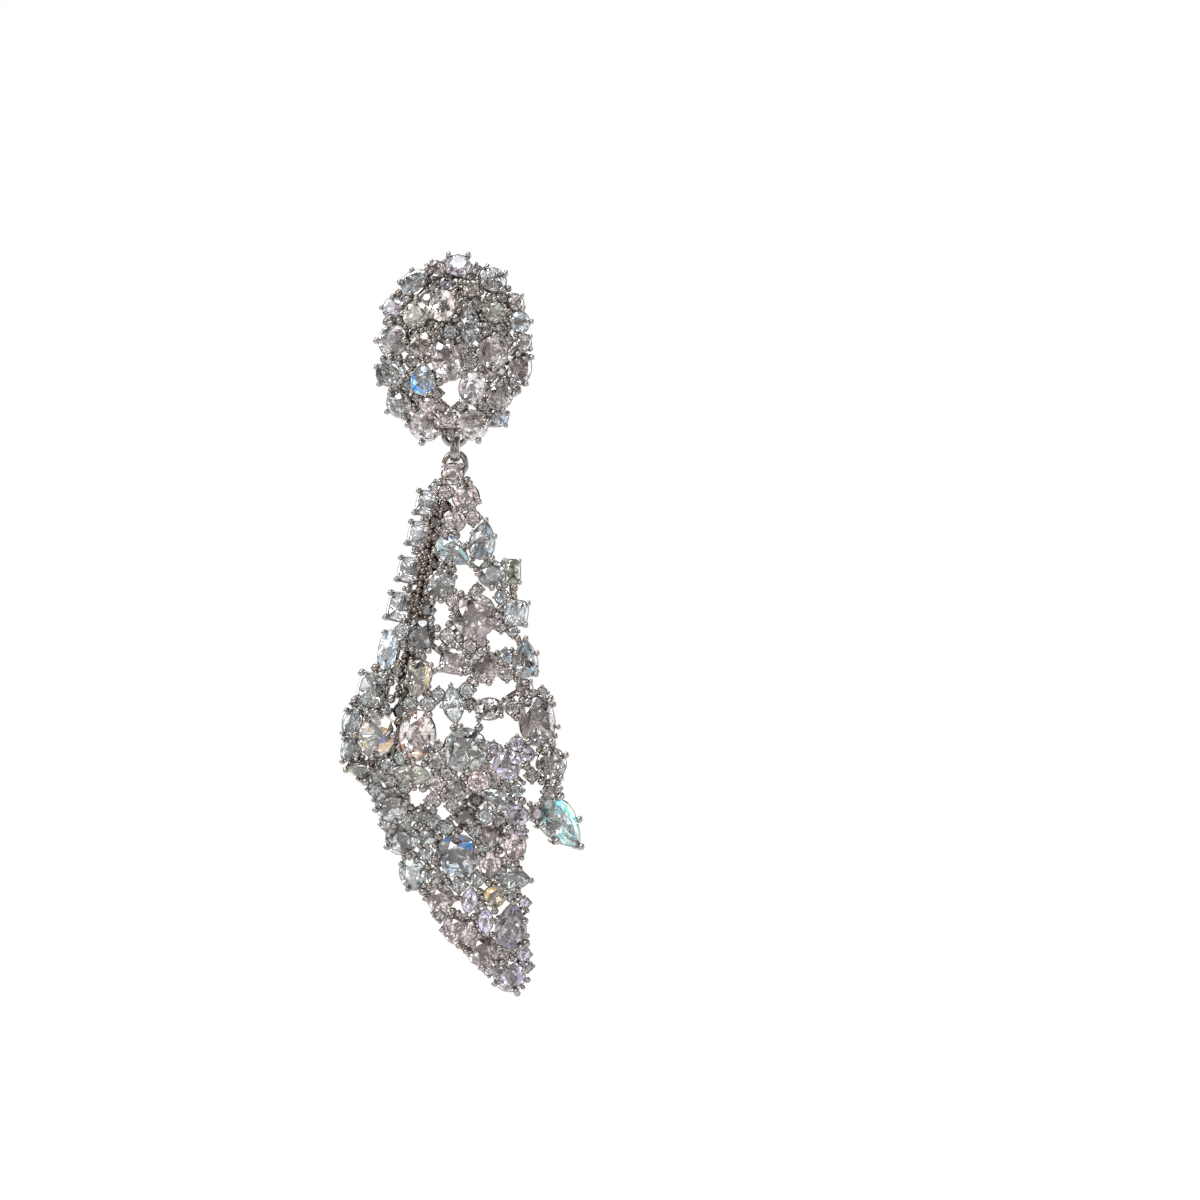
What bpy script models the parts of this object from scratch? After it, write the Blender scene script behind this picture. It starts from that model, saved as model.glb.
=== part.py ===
"""A chandelier earring: a domed cluster of claw-set stones carries a long drop, folded like a kerchief.

Every stone sits in a collet with claws. Neighbouring collets are joined by short bars, so each of the
two frames is one soldered casting. A flat link hangs the drop from the cluster.
+Z is up and the stones face -Y. The origin is where the ear post leaves the cluster's flat pad.
"""

import math
from collections import namedtuple

import bmesh
import bpy
from mathutils import Matrix, Vector

MM = 0.001
MERGE_DISTANCE = 0.001 * MM
SLOPE_STEP = 0.01 * MM  # for the slope of a panel's depth
SHARP_ANGLE = math.radians(65)  # round pieces keep an edge only where faces turn by more than this
X_AXIS = Vector((1, 0, 0))
Y_AXIS = Vector((0, 1, 0))

# Driving sizes of the cluster
DOME_WIDTH = 16.5 * MM
DOME_HEIGHT = 19.5 * MM
DOME_CENTRE_Z = -3.0 * MM  # the post sits above the middle, so that the weight hangs below it
DOME_RIM_DEPTH = 3.8 * MM  # from the pad's face forward to the girdles at the rim
DOME_RISE = 3.2 * MM  # from the rim's girdles forward to those in the middle

# Driving sizes of the drop
DROP_WIDTH = 24.5 * MM
DROP_LENGTH = 53.5 * MM
FRONT_LEAN = math.radians(4)  # the front panel comes forward as it goes down
FRONT_CURL = 0.022 / MM  # and its right edge curls back
SIDE_TURN = math.radians(30)  # the side panel is folded back from the front one
LOWER_LEAN = math.radians(8)  # the lower panel goes back as it goes down
LOWER_SETBACK = 3.4 * MM  # from the front panel's foot back to the lower panel's head

# Stones: each kind's cut, length and width, in chart steps, so that they grow with their chart
Kind = namedtuple("Kind", "cut length width")
KINDS = {
    "round_large": Kind("round", 43, 43),
    "round_broad": Kind("round", 31, 31),
    "round_medium": Kind("round", 26, 26),
    "round_small": Kind("round", 21, 21),
    "round_tiny": Kind("round", 16, 16),
    "cushion_large": Kind("cushion", 34, 34),
    "cushion_broad": Kind("cushion", 30, 28),
    "cushion_medium": Kind("cushion", 26, 24),
    "cushion_slim": Kind("cushion", 25, 16),
    "oval_large": Kind("oval", 50, 36),
    "oval_broad": Kind("oval", 41, 28),
    "oval_medium": Kind("oval", 33, 25),
    "oval_small": Kind("oval", 28, 21),
    "oval_long": Kind("oval", 41, 22),
    "pear_large": Kind("pear", 58, 38),
    "pear_broad": Kind("pear", 49, 31),
    "pear_medium": Kind("pear", 38, 25),
    "pear_small": Kind("pear", 31, 24),
    "marquise_medium": Kind("marquise", 38, 20),
    "marquise_small": Kind("marquise", 28, 15),
}
OWN_NODE_STEPS = 29.2  # a stone at least this long, marquises aside, is a solid of its own
STONE_SIDES = 8
CUSHION_SQUARENESS = 0.5  # the power that squares a circle's outline
CUSHION_TRIM = 0.94  # takes the sides in, so that the corners are cut off
PEAR_TAPER = 0.7  # the power that draws the outline to its point
TABLE_SHARE = 0.58  # of the girdle
CROWN_SHARE = 0.17  # of the stone's width
PAVILION_SHARE = 0.42  # of the stone's width
CULET_SHARE = 0.08  # of the girdle

# Settings
SEAT_GAP = 0.1 * MM  # between a loose stone and the metal round it
COLLET_RIM = 0.12 * MM  # how far a collet's rim stands outside its stone
COLLET_RIM_DROP = 0.5  # of the crown's height, from the girdle back to the rim
COLLET_FOOT_SHARE = 0.5  # of the stone's outline
COLLET_FLOOR = 0.25 * MM  # metal behind the culet
CLAW_WIDTH = 0.56 * MM
CLAW_SIDES = 3
CLAW_FOOT_SHARE = 0.45  # of the collet's depth, from the girdle back to the claw's foot
CLAW_SPREAD = 0.16 * MM  # from the girdle out to the claw's middle, at its foot
CLAW_LEAN = 0.05 * MM  # from the girdle in to the claw's middle, at its tip
CLAW_RISE = 0.2 * MM  # above the table of the stone that it holds
CLAW_SHIFTS = (0, 14, -14, 28, -28)  # degrees round the stone, tried in turn to stay clear of the next one
BAR_WIDTH = 0.7 * MM
BAR_SIDES = 3
BAR_REACH = 3.9 * MM  # between collets' middles: a longer bar is there only where nothing else holds
BAR_DEPTH_SHARE = 0.7  # of a collet's depth, where the bars meet it

# Loops and link
WIRE_WIDTH = 0.6 * MM
WIRE_SIDES = 6
LOOP_STEPS = 12  # round each loop and the link
LOOP_HOLE = 1.6 * MM  # across the hole of each loop
LINK_WIDTH = 1.0 * MM  # across the flat link's own section, seen from the front
LINK_HOLE_WIDTH = 1.0 * MM  # across the link's opening, seen from the side
LINK_PLAY = 0.1 * MM  # between the wires that hang in each other
LOOP_SPACE = 0.15 * MM  # between the two loops inside the link
LOOP_Y = -2.2 * MM
LOOP_RISE_SHARE = 0.88  # of the cluster's half height, from its middle down to its loop
HEAD_BELOW_LOOP = 0.15 * MM  # from the drop's loop down to the drop's top edge
LINK_SLACK_SHARE = 0.65  # of the free height in the cluster's loop, from its middle down to the link's head
HANGER_WIDTH = 0.78 * MM
HANGER_SIDES = 5
DROP_FRONT_Y = -3.1 * MM  # the front panel's head, chosen so that the drop hangs plumb

# Back of the cluster
RING_WIDTH = 0.776 * DOME_WIDTH
RING_HEIGHT = 0.78 * DOME_HEIGHT
RING_Y = -1.0 * MM
RING_WIRE = 0.9 * MM
RING_SIDES = 4
RING_STEPS = 20
RIM_SHARE = 0.36  # of the cluster's size: stones further out stand on the ring by a post
PAD_WIDTH = 5.6 * MM
PAD_THICKNESS = 1.0 * MM
BRIDGE_WIDTH = 1.6 * MM
BRIDGE_THICKNESS = 0.8 * MM
BRIDGE_RECESS = 0.15 * MM  # from the pad's face forward to the bridge's back
POST_WIDTH = 0.9 * MM
POST_LENGTH = 11.0 * MM
POST_TIP_LENGTH = 0.5 * MM
POST_TIP_WIDTH = 0.45 * MM
POST_SEAT_DEPTH = 0.6 * MM
POST_GAP = 0.1 * MM
SOCKET_OVERCUT = 1.0 * MM  # how far the socket's cutter stands out of the pad
TURNED_SIDES = 12  # round the pad and the post

# The two charts below give each stone's place by hand, in chart steps. The cluster's chart is 165 steps
# wide and 195 high, from its middle. The drop's is 245 wide, from its loop, and 535 long, from its head.
DOME_CHART_WIDTH = 165
DOME_CHART_HEIGHT = 195
DROP_CHART_WIDTH = 245
DROP_CHART_LENGTH = 535
DROP_CHART_AXIS = 6  # the step across that hangs under the loop, so that the drop hangs plumb
DOME_STEP = min(DOME_WIDTH / DOME_CHART_WIDTH, DOME_HEIGHT / DOME_CHART_HEIGHT)
DROP_STEP = min(DROP_WIDTH / DROP_CHART_WIDTH, DROP_LENGTH / DROP_CHART_LENGTH)
# turn is clockwise from the front, in degrees, from the long axis or a pear's point standing up.
Stone = namedtuple("Stone", "kind across up turn")
DOME_STONES = (
    # rim, clockwise from the top
    Stone("round_medium", 4, 83, 45),
    Stone("round_medium", 39, 68, 20),
    Stone("round_tiny", 62, 46, 0),
    Stone("round_small", 66, 26, 45),
    Stone("round_tiny", 70, 5, 0),
    Stone("oval_medium", 66, -21, 10),
    Stone("round_medium", 46, -49, 30),
    Stone("round_tiny", 46, -71, 0),
    Stone("round_broad", 18, -78, 20),
    Stone("round_tiny", -6, -72, 0),
    Stone("round_broad", -30, -79, 60),
    Stone("round_medium", -56, -57, 20),
    Stone("oval_medium", -64, -26, 85),
    Stone("round_broad", -62, 7, 45),
    Stone("round_small", -62, 40, 45),
    Stone("pear_small", -39, 67, 45),
    Stone("round_tiny", -17, 80, 0),
    # inside the rim
    Stone("round_medium", -38, 33, 45),
    Stone("oval_medium", -11, 41, 10),
    Stone("round_tiny", 17, 58, 0),
    Stone("marquise_medium", 16, 21, 0),
    Stone("round_small", 40, 36, 45),
    Stone("oval_broad", -7, -14, 155),
    Stone("round_broad", 39, -5, 45),
    Stone("round_small", -34, 2, 30),
    Stone("pear_small", -31, -32, 8),
    Stone("oval_medium", 18, -41, 0),
    Stone("round_tiny", -26, -58, 0),
)
Setting = namedtuple("Setting", "panel kind across down turn")
DROP_STONES = (
    # head
    Setting("front", "round_small", 4, 9, 45),
    Setting("front", "round_medium", 17, 32, 65),
    Setting("front", "round_small", 6, 56, 45),
    Setting("front", "pear_medium", 34, 75, 10),
    Setting("front", "pear_medium", 4, 87, 125),
    Setting("front", "oval_medium", -8, 120, 30),
    Setting("front", "round_medium", 43, 109, 45),
    Setting("front", "cushion_slim", 64, 107, 0),
    # round the largest round stone
    Setting("front", "round_large", 26, 151, 45),
    Setting("front", "cushion_medium", 68, 148, 8),
    Setting("front", "oval_medium", -27, 172, 5),
    Setting("front", "cushion_medium", 4, 196, 10),
    Setting("front", "round_broad", 36, 202, 30),
    Setting("front", "pear_medium", 77, 194, 0),
    Setting("front", "round_tiny", 76, 223, 0),
    Setting("front", "pear_medium", -30, 214, 190),
    Setting("front", "marquise_medium", 5, 240, 172),
    Setting("front", "oval_small", 41, 244, 90),
    # right edge, down to the big pear
    Setting("front", "oval_large", 89, 257, 0),
    Setting("front", "round_broad", 103, 299, 15),
    Setting("front", "round_tiny", 102, 327, 45),
    Setting("front", "pear_large", 113, 360, 140),
    # foot of the front panel
    Setting("front", "round_large", 17, 285, 30),
    Setting("front", "oval_large", -31, 270, 0),
    Setting("front", "cushion_broad", 59, 299, 15),
    Setting("front", "round_tiny", -11, 295, 0),
    Setting("front", "round_small", 30, 316, 20),
    Setting("front", "round_small", 8, 325, 45),
    Setting("front", "marquise_medium", -36, 309, 97),
    Setting("front", "round_tiny", -12, 318, 45),
    Setting("front", "marquise_medium", 51, 334, 118),
    Setting("front", "round_small", 69, 351, 45),
    Setting("front", "round_tiny", 88, 349, 45),
    # side panel, down its column
    Setting("side", "cushion_medium", -23, 38, 8),
    Setting("side", "cushion_medium", -31, 69, 8),
    Setting("side", "cushion_medium", -41, 105, 8),
    Setting("side", "cushion_broad", -50, 142, 8),
    Setting("side", "oval_long", -61, 185, 8),
    Setting("side", "cushion_large", -78, 225, 12),
    Setting("side", "round_large", -72, 271, 45),
    Setting("side", "oval_small", -98, 258, 5),
    Setting("side", "oval_small", -99, 286, 0),
    # lower panel
    Setting("lower", "round_broad", -58, 341, 30),
    Setting("lower", "round_tiny", -29, 351, 45),
    Setting("lower", "round_small", 16, 352, 45),
    Setting("lower", "round_broad", -48, 376, 20),
    Setting("lower", "round_tiny", -22, 373, 45),
    Setting("lower", "round_large", 8, 393, 45),
    Setting("lower", "round_small", 44, 373, 45),
    Setting("lower", "oval_small", 66, 383, 0),
    Setting("lower", "oval_medium", -37, 411, 165),
    Setting("lower", "round_tiny", -14, 413, 45),
    Setting("lower", "oval_small", 41, 402, 0),
    Setting("lower", "pear_small", 66, 416, 95),
    Setting("lower", "round_medium", -9, 436, 45),
    Setting("lower", "marquise_small", 20, 438, 10),
    Setting("lower", "round_small", 45, 434, 45),
    Setting("lower", "round_broad", 9, 467, 45),
    Setting("lower", "marquise_small", 36, 459, 0),
    Setting("lower", "pear_broad", 62, 464, 5),
    Setting("lower", "round_broad", 33, 489, 45),
    Setting("lower", "round_broad", 60, 515, 20),
)
FOLD_HEAD = (-4, 35)  # the fold between front and side, across and down at its head
FOLD_FOOT = (-56, 290)
FRONT_FOOT = 330  # down to where the front panel's foot and the lower panel's head meet
FOLD_RAIL_SHARES = (0.0, 0.5, 1.0)  # of the way down the fold
FOLD_RAIL_SETBACK = 1.0 * MM
FOLD_RAIL_WIDTH = 0.9 * MM
FOLD_RAIL_SIDES = 4
FOLD_RAIL_OVERLAP = 0.2 * MM  # of each length of the rail past its end
UNDER_ACROSS = -84  # the turned-under stone at the fold's lower corner
UNDER_DOWN = 308
UNDER_TURN = 112
UNDER_LEAN = math.radians(55)  # how far it faces down
UNDER_KIND = "marquise_medium"

METAL = ("rhodium_metal", (0.74, 0.73, 0.71, 1), 1.0, 0.16)
STONE = ("clear_stone", (0.86, 0.85, 0.88, 1), 0.0, 0.04)


def clear_scene():
    for obj in list(bpy.data.objects):
        bpy.data.objects.remove(obj)


def material(name, colour, metallic, roughness):
    made = bpy.data.materials.get(name)
    if made is None:
        made = bpy.data.materials.new(name)
        made.use_nodes = True
        shader = made.node_tree.nodes["Principled BSDF"]
        shader.inputs["Base Color"].default_value = colour
        shader.inputs["Metallic"].default_value = metallic
        shader.inputs["Roughness"].default_value = roughness
    return made


def add_object(name, bm, finish, collection=None):
    """The mesh as an object: a node of the model, or a helper when it goes into a helper collection."""
    bmesh.ops.recalc_face_normals(bm, faces=bm.faces)
    mesh = bpy.data.meshes.new(name)
    bm.to_mesh(mesh)
    bm.free()
    mesh.materials.append(material(*finish))
    obj = bpy.data.objects.new(name, mesh)
    (collection or bpy.context.scene.collection).objects.link(obj)
    if collection:
        obj.hide_render = True
        obj.display_type = "WIRE"
    return obj


def shade_round(obj):
    """Smooth shading for a round piece, which keeps its true edges."""
    obj.data.shade_smooth()
    obj.data.set_sharp_from_angle(angle=SHARP_ANGLE)


def helper_collection(name):
    made = bpy.data.collections.new(name)
    bpy.context.scene.collection.children.link(made)
    return made


def add_pivot(name, height):
    """An empty on a joint's axis, where the wires of two loops meet."""
    pivot = bpy.data.objects.new(name, None)
    pivot.location = (0, LOOP_Y, height)
    bpy.context.scene.collection.objects.link(pivot)
    return pivot


def hang(obj, pivot):
    """Parents an object to a pivot and leaves it where it is."""
    obj.parent = pivot
    obj.matrix_parent_inverse = Matrix.Translation(-pivot.location)


# Outlines of the cuts


def pear_half_width(angle):
    return math.sin(angle) * math.sin(angle / 2) ** PEAR_TAPER


PEAR_WIDEST = max(pear_half_width(math.radians(degree)) for degree in range(181))


def outline_point(kind, angle):
    """A point of the stone's outline, along its long axis and across it, at an angle from its head."""
    along = math.cos(angle)
    across = math.sin(angle)
    if kind.cut == "cushion":
        along = math.copysign(abs(along) ** CUSHION_SQUARENESS, along) * CUSHION_TRIM
        across = math.copysign(abs(across) ** CUSHION_SQUARENESS, across) * CUSHION_TRIM
    elif kind.cut == "pear":
        folded = math.acos(math.cos(angle))
        across = math.copysign(pear_half_width(folded) / PEAR_WIDEST, math.sin(angle))
    elif kind.cut == "marquise":
        across = math.copysign(math.sin(angle) ** 2, math.sin(angle))
    return along * kind.length / 2, across * kind.width / 2


def corner_angle(kind, number):
    """Where the outline's corners lie: a cushion has two at each of its own corners."""
    start = math.pi / STONE_SIDES if kind.cut == "cushion" else 0
    return start + 2 * math.pi * number / STONE_SIDES


def edge_point(kind, degrees):
    """A point of the outline as cut, on the straight edge between two of its corners."""
    place = (math.radians(degrees) - corner_angle(kind, 0)) * STONE_SIDES / (2 * math.pi)
    number = math.floor(place)
    share = place - number
    before = outline_point(kind, corner_angle(kind, number))
    after = outline_point(kind, corner_angle(kind, number + 1))
    return [a + (b - a) * share for a, b in zip(before, after)]


def claw_degrees(kind):
    """Round the stone from its head, where its claws would best stand."""
    if kind.cut == "round" and kind.width < KINDS["round_large"].width:
        return (0, 135, 225)
    return {
        "round": (0, 90, 180, 270),
        "cushion": (45, 135, 225, 315),
        "oval": (45, 135, 225, 315),
        "pear": (0, 135, 225),
        "marquise": (0, 180),
    }[kind.cut]


# Where a stone sits


class Seat:
    """A stone's place: its middle at the girdle, and which ways its face, length and width point."""

    def __init__(self, kind_name, step, middle, facing, turn):
        cut, length, width = KINDS[kind_name]
        self.kind = Kind(cut, length * step, width * step)
        self.is_own_node = length >= OWN_NODE_STEPS and cut != "marquise"
        self.claw_degrees = claw_degrees(KINDS[kind_name])
        self.has_post = width >= KINDS["round_small"].width
        self.middle = middle
        self.facing = facing.normalized()
        upright = (Vector((0, 0, 1)) - self.facing * self.facing.z).normalized()
        rightward = upright.cross(self.facing)
        angle = math.radians(turn)
        self.lengthwise = upright * math.cos(angle) + rightward * math.sin(angle)
        self.sideways = rightward * math.cos(angle) - upright * math.sin(angle)

    @property
    def crown(self):
        return self.kind.width * CROWN_SHARE

    @property
    def pavilion(self):
        return self.kind.width * PAVILION_SHARE

    @property
    def collet_depth(self):
        return self.pavilion + SEAT_GAP + COLLET_FLOOR

    def at(self, along, across, height):
        return self.middle + self.lengthwise * along + self.sideways * across + self.facing * height

    def ring(self, share, height, grow=0.0):
        points = []
        for number in range(STONE_SIDES):
            along, across = outline_point(self.kind, corner_angle(self.kind, number))
            stretch = share + grow / math.hypot(along, across)
            points.append(self.at(along * stretch, across * stretch, height))
        return points

    def bar_end(self):
        return self.middle - self.facing * self.collet_depth * BAR_DEPTH_SHARE

    def covers(self, point, margin):
        """Whether a point near the girdle lies over this stone, or within a margin of it."""
        offset = point - self.middle
        along = abs(offset.dot(self.lengthwise)) / (self.kind.length / 2 + margin)
        across = abs(offset.dot(self.sideways)) / (self.kind.width / 2 + margin)
        power = 4 if self.kind.cut == "cushion" else 2
        return along**power + across**power < 1 and abs(offset.dot(self.facing)) < self.kind.width


def facing_of(depth, x, z):
    """The way a panel faces at a place, from the slope of its depth there."""
    step = SLOPE_STEP
    slope_x = (depth(x + step, z) - depth(x - step, z)) / (2 * step)
    slope_z = (depth(x, z + step) - depth(x, z - step)) / (2 * step)
    return Vector((slope_x, -1, slope_z)).normalized()


def dome_depth(x, z):
    out = (x / (DOME_WIDTH / 2)) ** 2 + ((z - DOME_CENTRE_Z) / (DOME_HEIGHT / 2)) ** 2
    return -(DOME_RIM_DEPTH + DOME_RISE * (1 - out))


def drop_place(across, down):
    x = (across - DROP_CHART_AXIS) / DROP_CHART_WIDTH * DROP_WIDTH
    return x, DROP_HEAD_Z - down / DROP_CHART_LENGTH * DROP_LENGTH


def front_depth(x, z):
    curl = FRONT_CURL * x * abs(x) if x > 0 else 0
    return DROP_FRONT_Y + (z - DROP_HEAD_Z) * math.tan(FRONT_LEAN) + curl


def side_depth(x, z):
    head_x, head_z = drop_place(*FOLD_HEAD)
    foot_x, foot_z = drop_place(*FOLD_FOOT)
    fold_x = head_x + (foot_x - head_x) * (z - head_z) / (foot_z - head_z)
    return front_depth(fold_x, z) + (fold_x - x) * math.tan(SIDE_TURN)


def lower_depth(x, z):
    head_z = drop_place(0, FRONT_FOOT)[1]
    return front_depth(0, head_z) + LOWER_SETBACK + (head_z - z) * math.tan(LOWER_LEAN)


PANEL_DEPTHS = {"front": front_depth, "side": side_depth, "lower": lower_depth}

# The loops and the link hang in each other, so each one's height follows from the one above.
WIRE = WIRE_WIDTH / 2
LOOP_RADIUS = LOOP_HOLE / 2 + WIRE
LINK_RADIUS = LINK_HOLE_WIDTH / 2 + WIRE
DOME_LOOP_Z = DOME_CENTRE_Z - DOME_HEIGHT / 2 * LOOP_RISE_SHARE
LINK_TOP_Z = DOME_LOOP_Z - (LOOP_HOLE / 2 - WIRE - LINK_PLAY) * LINK_SLACK_SHARE
DROP_PIVOT_Z = DOME_LOOP_Z - LOOP_RADIUS - WIRE_WIDTH - LOOP_SPACE
LINK_FOOT_Z = DROP_PIVOT_Z - WIRE_WIDTH - LINK_PLAY
DROP_LOOP_Z = DROP_PIVOT_Z - LOOP_RADIUS
DROP_HEAD_Z = DROP_LOOP_Z - HEAD_BELOW_LOOP


def dome_seats():
    seats = []
    for stone in DOME_STONES:
        x = stone.across / DOME_CHART_WIDTH * DOME_WIDTH
        z = DOME_CENTRE_Z + stone.up / DOME_CHART_HEIGHT * DOME_HEIGHT
        middle = Vector((x, dome_depth(x, z), z))
        seats.append(Seat(stone.kind, DOME_STEP, middle, facing_of(dome_depth, x, z), stone.turn))
    return seats


def drop_seats():
    seats = []
    for setting in DROP_STONES:
        depth = PANEL_DEPTHS[setting.panel]
        x, z = drop_place(setting.across, setting.down)
        middle = Vector((x, depth(x, z), z))
        seats.append(Seat(setting.kind, DROP_STEP, middle, facing_of(depth, x, z), setting.turn))
    x, z = drop_place(UNDER_ACROSS, UNDER_DOWN)
    middle = Vector((x, side_depth(x, z), z))
    facing = Vector((0, -math.cos(UNDER_LEAN), -math.sin(UNDER_LEAN)))
    seats.append(Seat(UNDER_KIND, DROP_STEP, middle, facing, UNDER_TURN))
    return seats


# Shapes


def lofted(rings):
    """A closed body drawn through rings of matching points."""
    bm = bmesh.new()
    rows = [[bm.verts.new(point) for point in ring] for ring in rings]
    for lower, upper in zip(rows, rows[1:]):
        for i, vertex in enumerate(lower):
            bm.faces.new((lower[i - 1], vertex, upper[i], upper[i - 1]))
    bm.faces.new(rows[0])
    bm.faces.new(rows[-1])
    return bm


def stone_rings(seat, grow=0.0):
    return [
        seat.ring(CULET_SHARE, -seat.pavilion - grow, grow),
        seat.ring(1, 0, grow),
        seat.ring(TABLE_SHARE, seat.crown + grow, grow),
    ]


def collet_rings(seat):
    """The cup under a loose stone, or a small stone and its cup as one body."""
    foot = seat.ring(COLLET_FOOT_SHARE, -seat.collet_depth)
    if seat.is_own_node:
        return [foot, seat.ring(1, -seat.crown * COLLET_RIM_DROP, COLLET_RIM)]
    return [foot, seat.ring(1, 0), seat.ring(TABLE_SHARE, seat.crown)]


def rod(start, end, width, sides, end_width=None):
    """A straight rod between two points, with flat ends."""
    bm = bmesh.new()
    along = end - start
    place = Matrix.Translation((start + end) / 2) @ along.to_track_quat("Z", "Y").to_matrix().to_4x4()
    bmesh.ops.create_cone(
        bm,
        cap_ends=True,
        segments=sides,
        radius1=width / 2,
        radius2=(end_width or width) / 2,
        depth=along.length,
        matrix=place,
    )
    return bm


def claw(seat, degrees):
    along, across = edge_point(seat.kind, degrees)
    out = math.hypot(along, across)
    foot = 1 + CLAW_SPREAD / out
    tip = 1 - CLAW_LEAN / out
    start = seat.at(along * foot, across * foot, -seat.collet_depth * CLAW_FOOT_SHARE)
    end = seat.at(along * tip, across * tip, seat.crown + CLAW_RISE)
    return rod(start, end, CLAW_WIDTH, CLAW_SIDES)


def free_claw_degrees(seat, others):
    """The claws' places, each moved round a little where it would stand in the next stone, or left out."""
    found = []
    for degree in seat.claw_degrees:
        for shift in CLAW_SHIFTS:
            place = seat.at(*edge_point(seat.kind, degree + shift), 0)
            if not any(other.covers(place, SEAT_GAP + CLAW_WIDTH / 2) for other in others):
                found.append(degree + shift)
                break
    return found


def ring_wire(centre, radius, half_width, half_thickness, steps, sides, axis):
    """A ring spun round an axis through its centre. half_width lies along the axis."""
    bm = bmesh.new()
    section = bmesh.ops.create_circle(bm, segments=sides, radius=1)["verts"]
    outward = Vector((0, 0, 1))
    for vertex in section:
        out = radius + vertex.co.x * half_thickness
        vertex.co = centre + outward * out + axis * (vertex.co.y * half_width)
    bmesh.ops.spin(
        bm,
        geom=bm.edges[:],
        cent=centre,
        axis=axis,
        angle=2 * math.pi,
        steps=steps,
        use_merge=True,
    )
    bmesh.ops.remove_doubles(bm, verts=bm.verts, dist=MERGE_DISTANCE)
    return bm


def loop_wire(height):
    return ring_wire(Vector((0, LOOP_Y, height)), LOOP_RADIUS, WIRE, WIRE, LOOP_STEPS, WIRE_SIDES, Y_AXIS)


def neighbours(points):
    """Pairs with no third point nearer to both than they are to each other, the nearest pair first."""
    pairs = []
    for i, first in enumerate(points):
        for j in range(i):
            second = points[j]
            apart = (first - second).length
            nearer = any(
                max((first - other).length, (second - other).length) < apart
                for k, other in enumerate(points)
                if k not in (i, j)
            )
            if not nearer:
                pairs.append((apart, j, i))
    return sorted(pairs)


def barred_pairs(points):
    """The neighbours that a bar joins: those within reach, and those that tie the groups together."""
    group = list(range(len(points)))
    kept = []
    for apart, i, j in neighbours(points):
        if apart > BAR_REACH and group[i] == group[j]:
            continue
        kept.append((i, j))
        group = [group[i] if g == group[j] else g for g in group]
    return kept


# Frames


def add_settings(seats, helpers):
    """Collets, claws and the bars between neighbouring collets."""
    for i, seat in enumerate(seats):
        add_object(f"collet_{i}", lofted(collet_rings(seat)), METAL, helpers)
        if not seat.is_own_node:
            continue
        others = seats[:i] + seats[i + 1 :]
        for j, degrees in enumerate(free_claw_degrees(seat, others)):
            add_object(f"claw_{i}_{j}", claw(seat, degrees), METAL, helpers)
    ends = [seat.bar_end() for seat in seats]
    for i, j in barred_pairs(ends):
        add_object(f"bar_{i}_{j}", rod(ends[i], ends[j], BAR_WIDTH, BAR_SIDES), METAL, helpers)


def add_hanger(height, seats, helpers):
    """Struts from the top of a loop to the two collets nearest to it."""
    top = Vector((0, LOOP_Y, height))
    nearest = sorted(seats, key=lambda seat: (seat.bar_end() - top).length)[:2]
    for i, seat in enumerate(nearest):
        add_object(f"hanger_{i}", rod(top, seat.bar_end(), HANGER_WIDTH, HANGER_SIDES), METAL, helpers)


def add_seat_cutters(seats, cutters):
    for i, seat in enumerate(seats):
        if seat.is_own_node:
            add_object(f"seat_{i}", lofted(stone_rings(seat, SEAT_GAP)), METAL, cutters)


def soldered(name, bm, helpers, cutters):
    """One casting: a first body, joined to all the helpers, with the seats cut out."""
    frame = add_object(name, bm, METAL)
    shade_round(frame)
    join = frame.modifiers.new("join", "BOOLEAN")
    join.operation = "UNION"
    join.operand_type = "COLLECTION"
    join.collection = helpers
    cut = frame.modifiers.new("seats", "BOOLEAN")
    cut.operation = "DIFFERENCE"
    cut.operand_type = "COLLECTION"
    cut.collection = cutters
    return frame


def add_stones(prefix, seats):
    counts = {}
    stones = []
    for seat in seats:
        if not seat.is_own_node:
            continue
        counts[seat.kind.cut] = counts.get(seat.kind.cut, 0) + 1
        name = f"{prefix}_{seat.kind.cut}_{counts[seat.kind.cut]}"
        stones.append(add_object(name, lofted(stone_rings(seat)), STONE))
    return stones


def ring_point(angle):
    x = math.sin(angle) * RING_WIDTH / 2
    z = DOME_CENTRE_Z + math.cos(angle) * RING_HEIGHT / 2
    return Vector((x, RING_Y, z))


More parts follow.
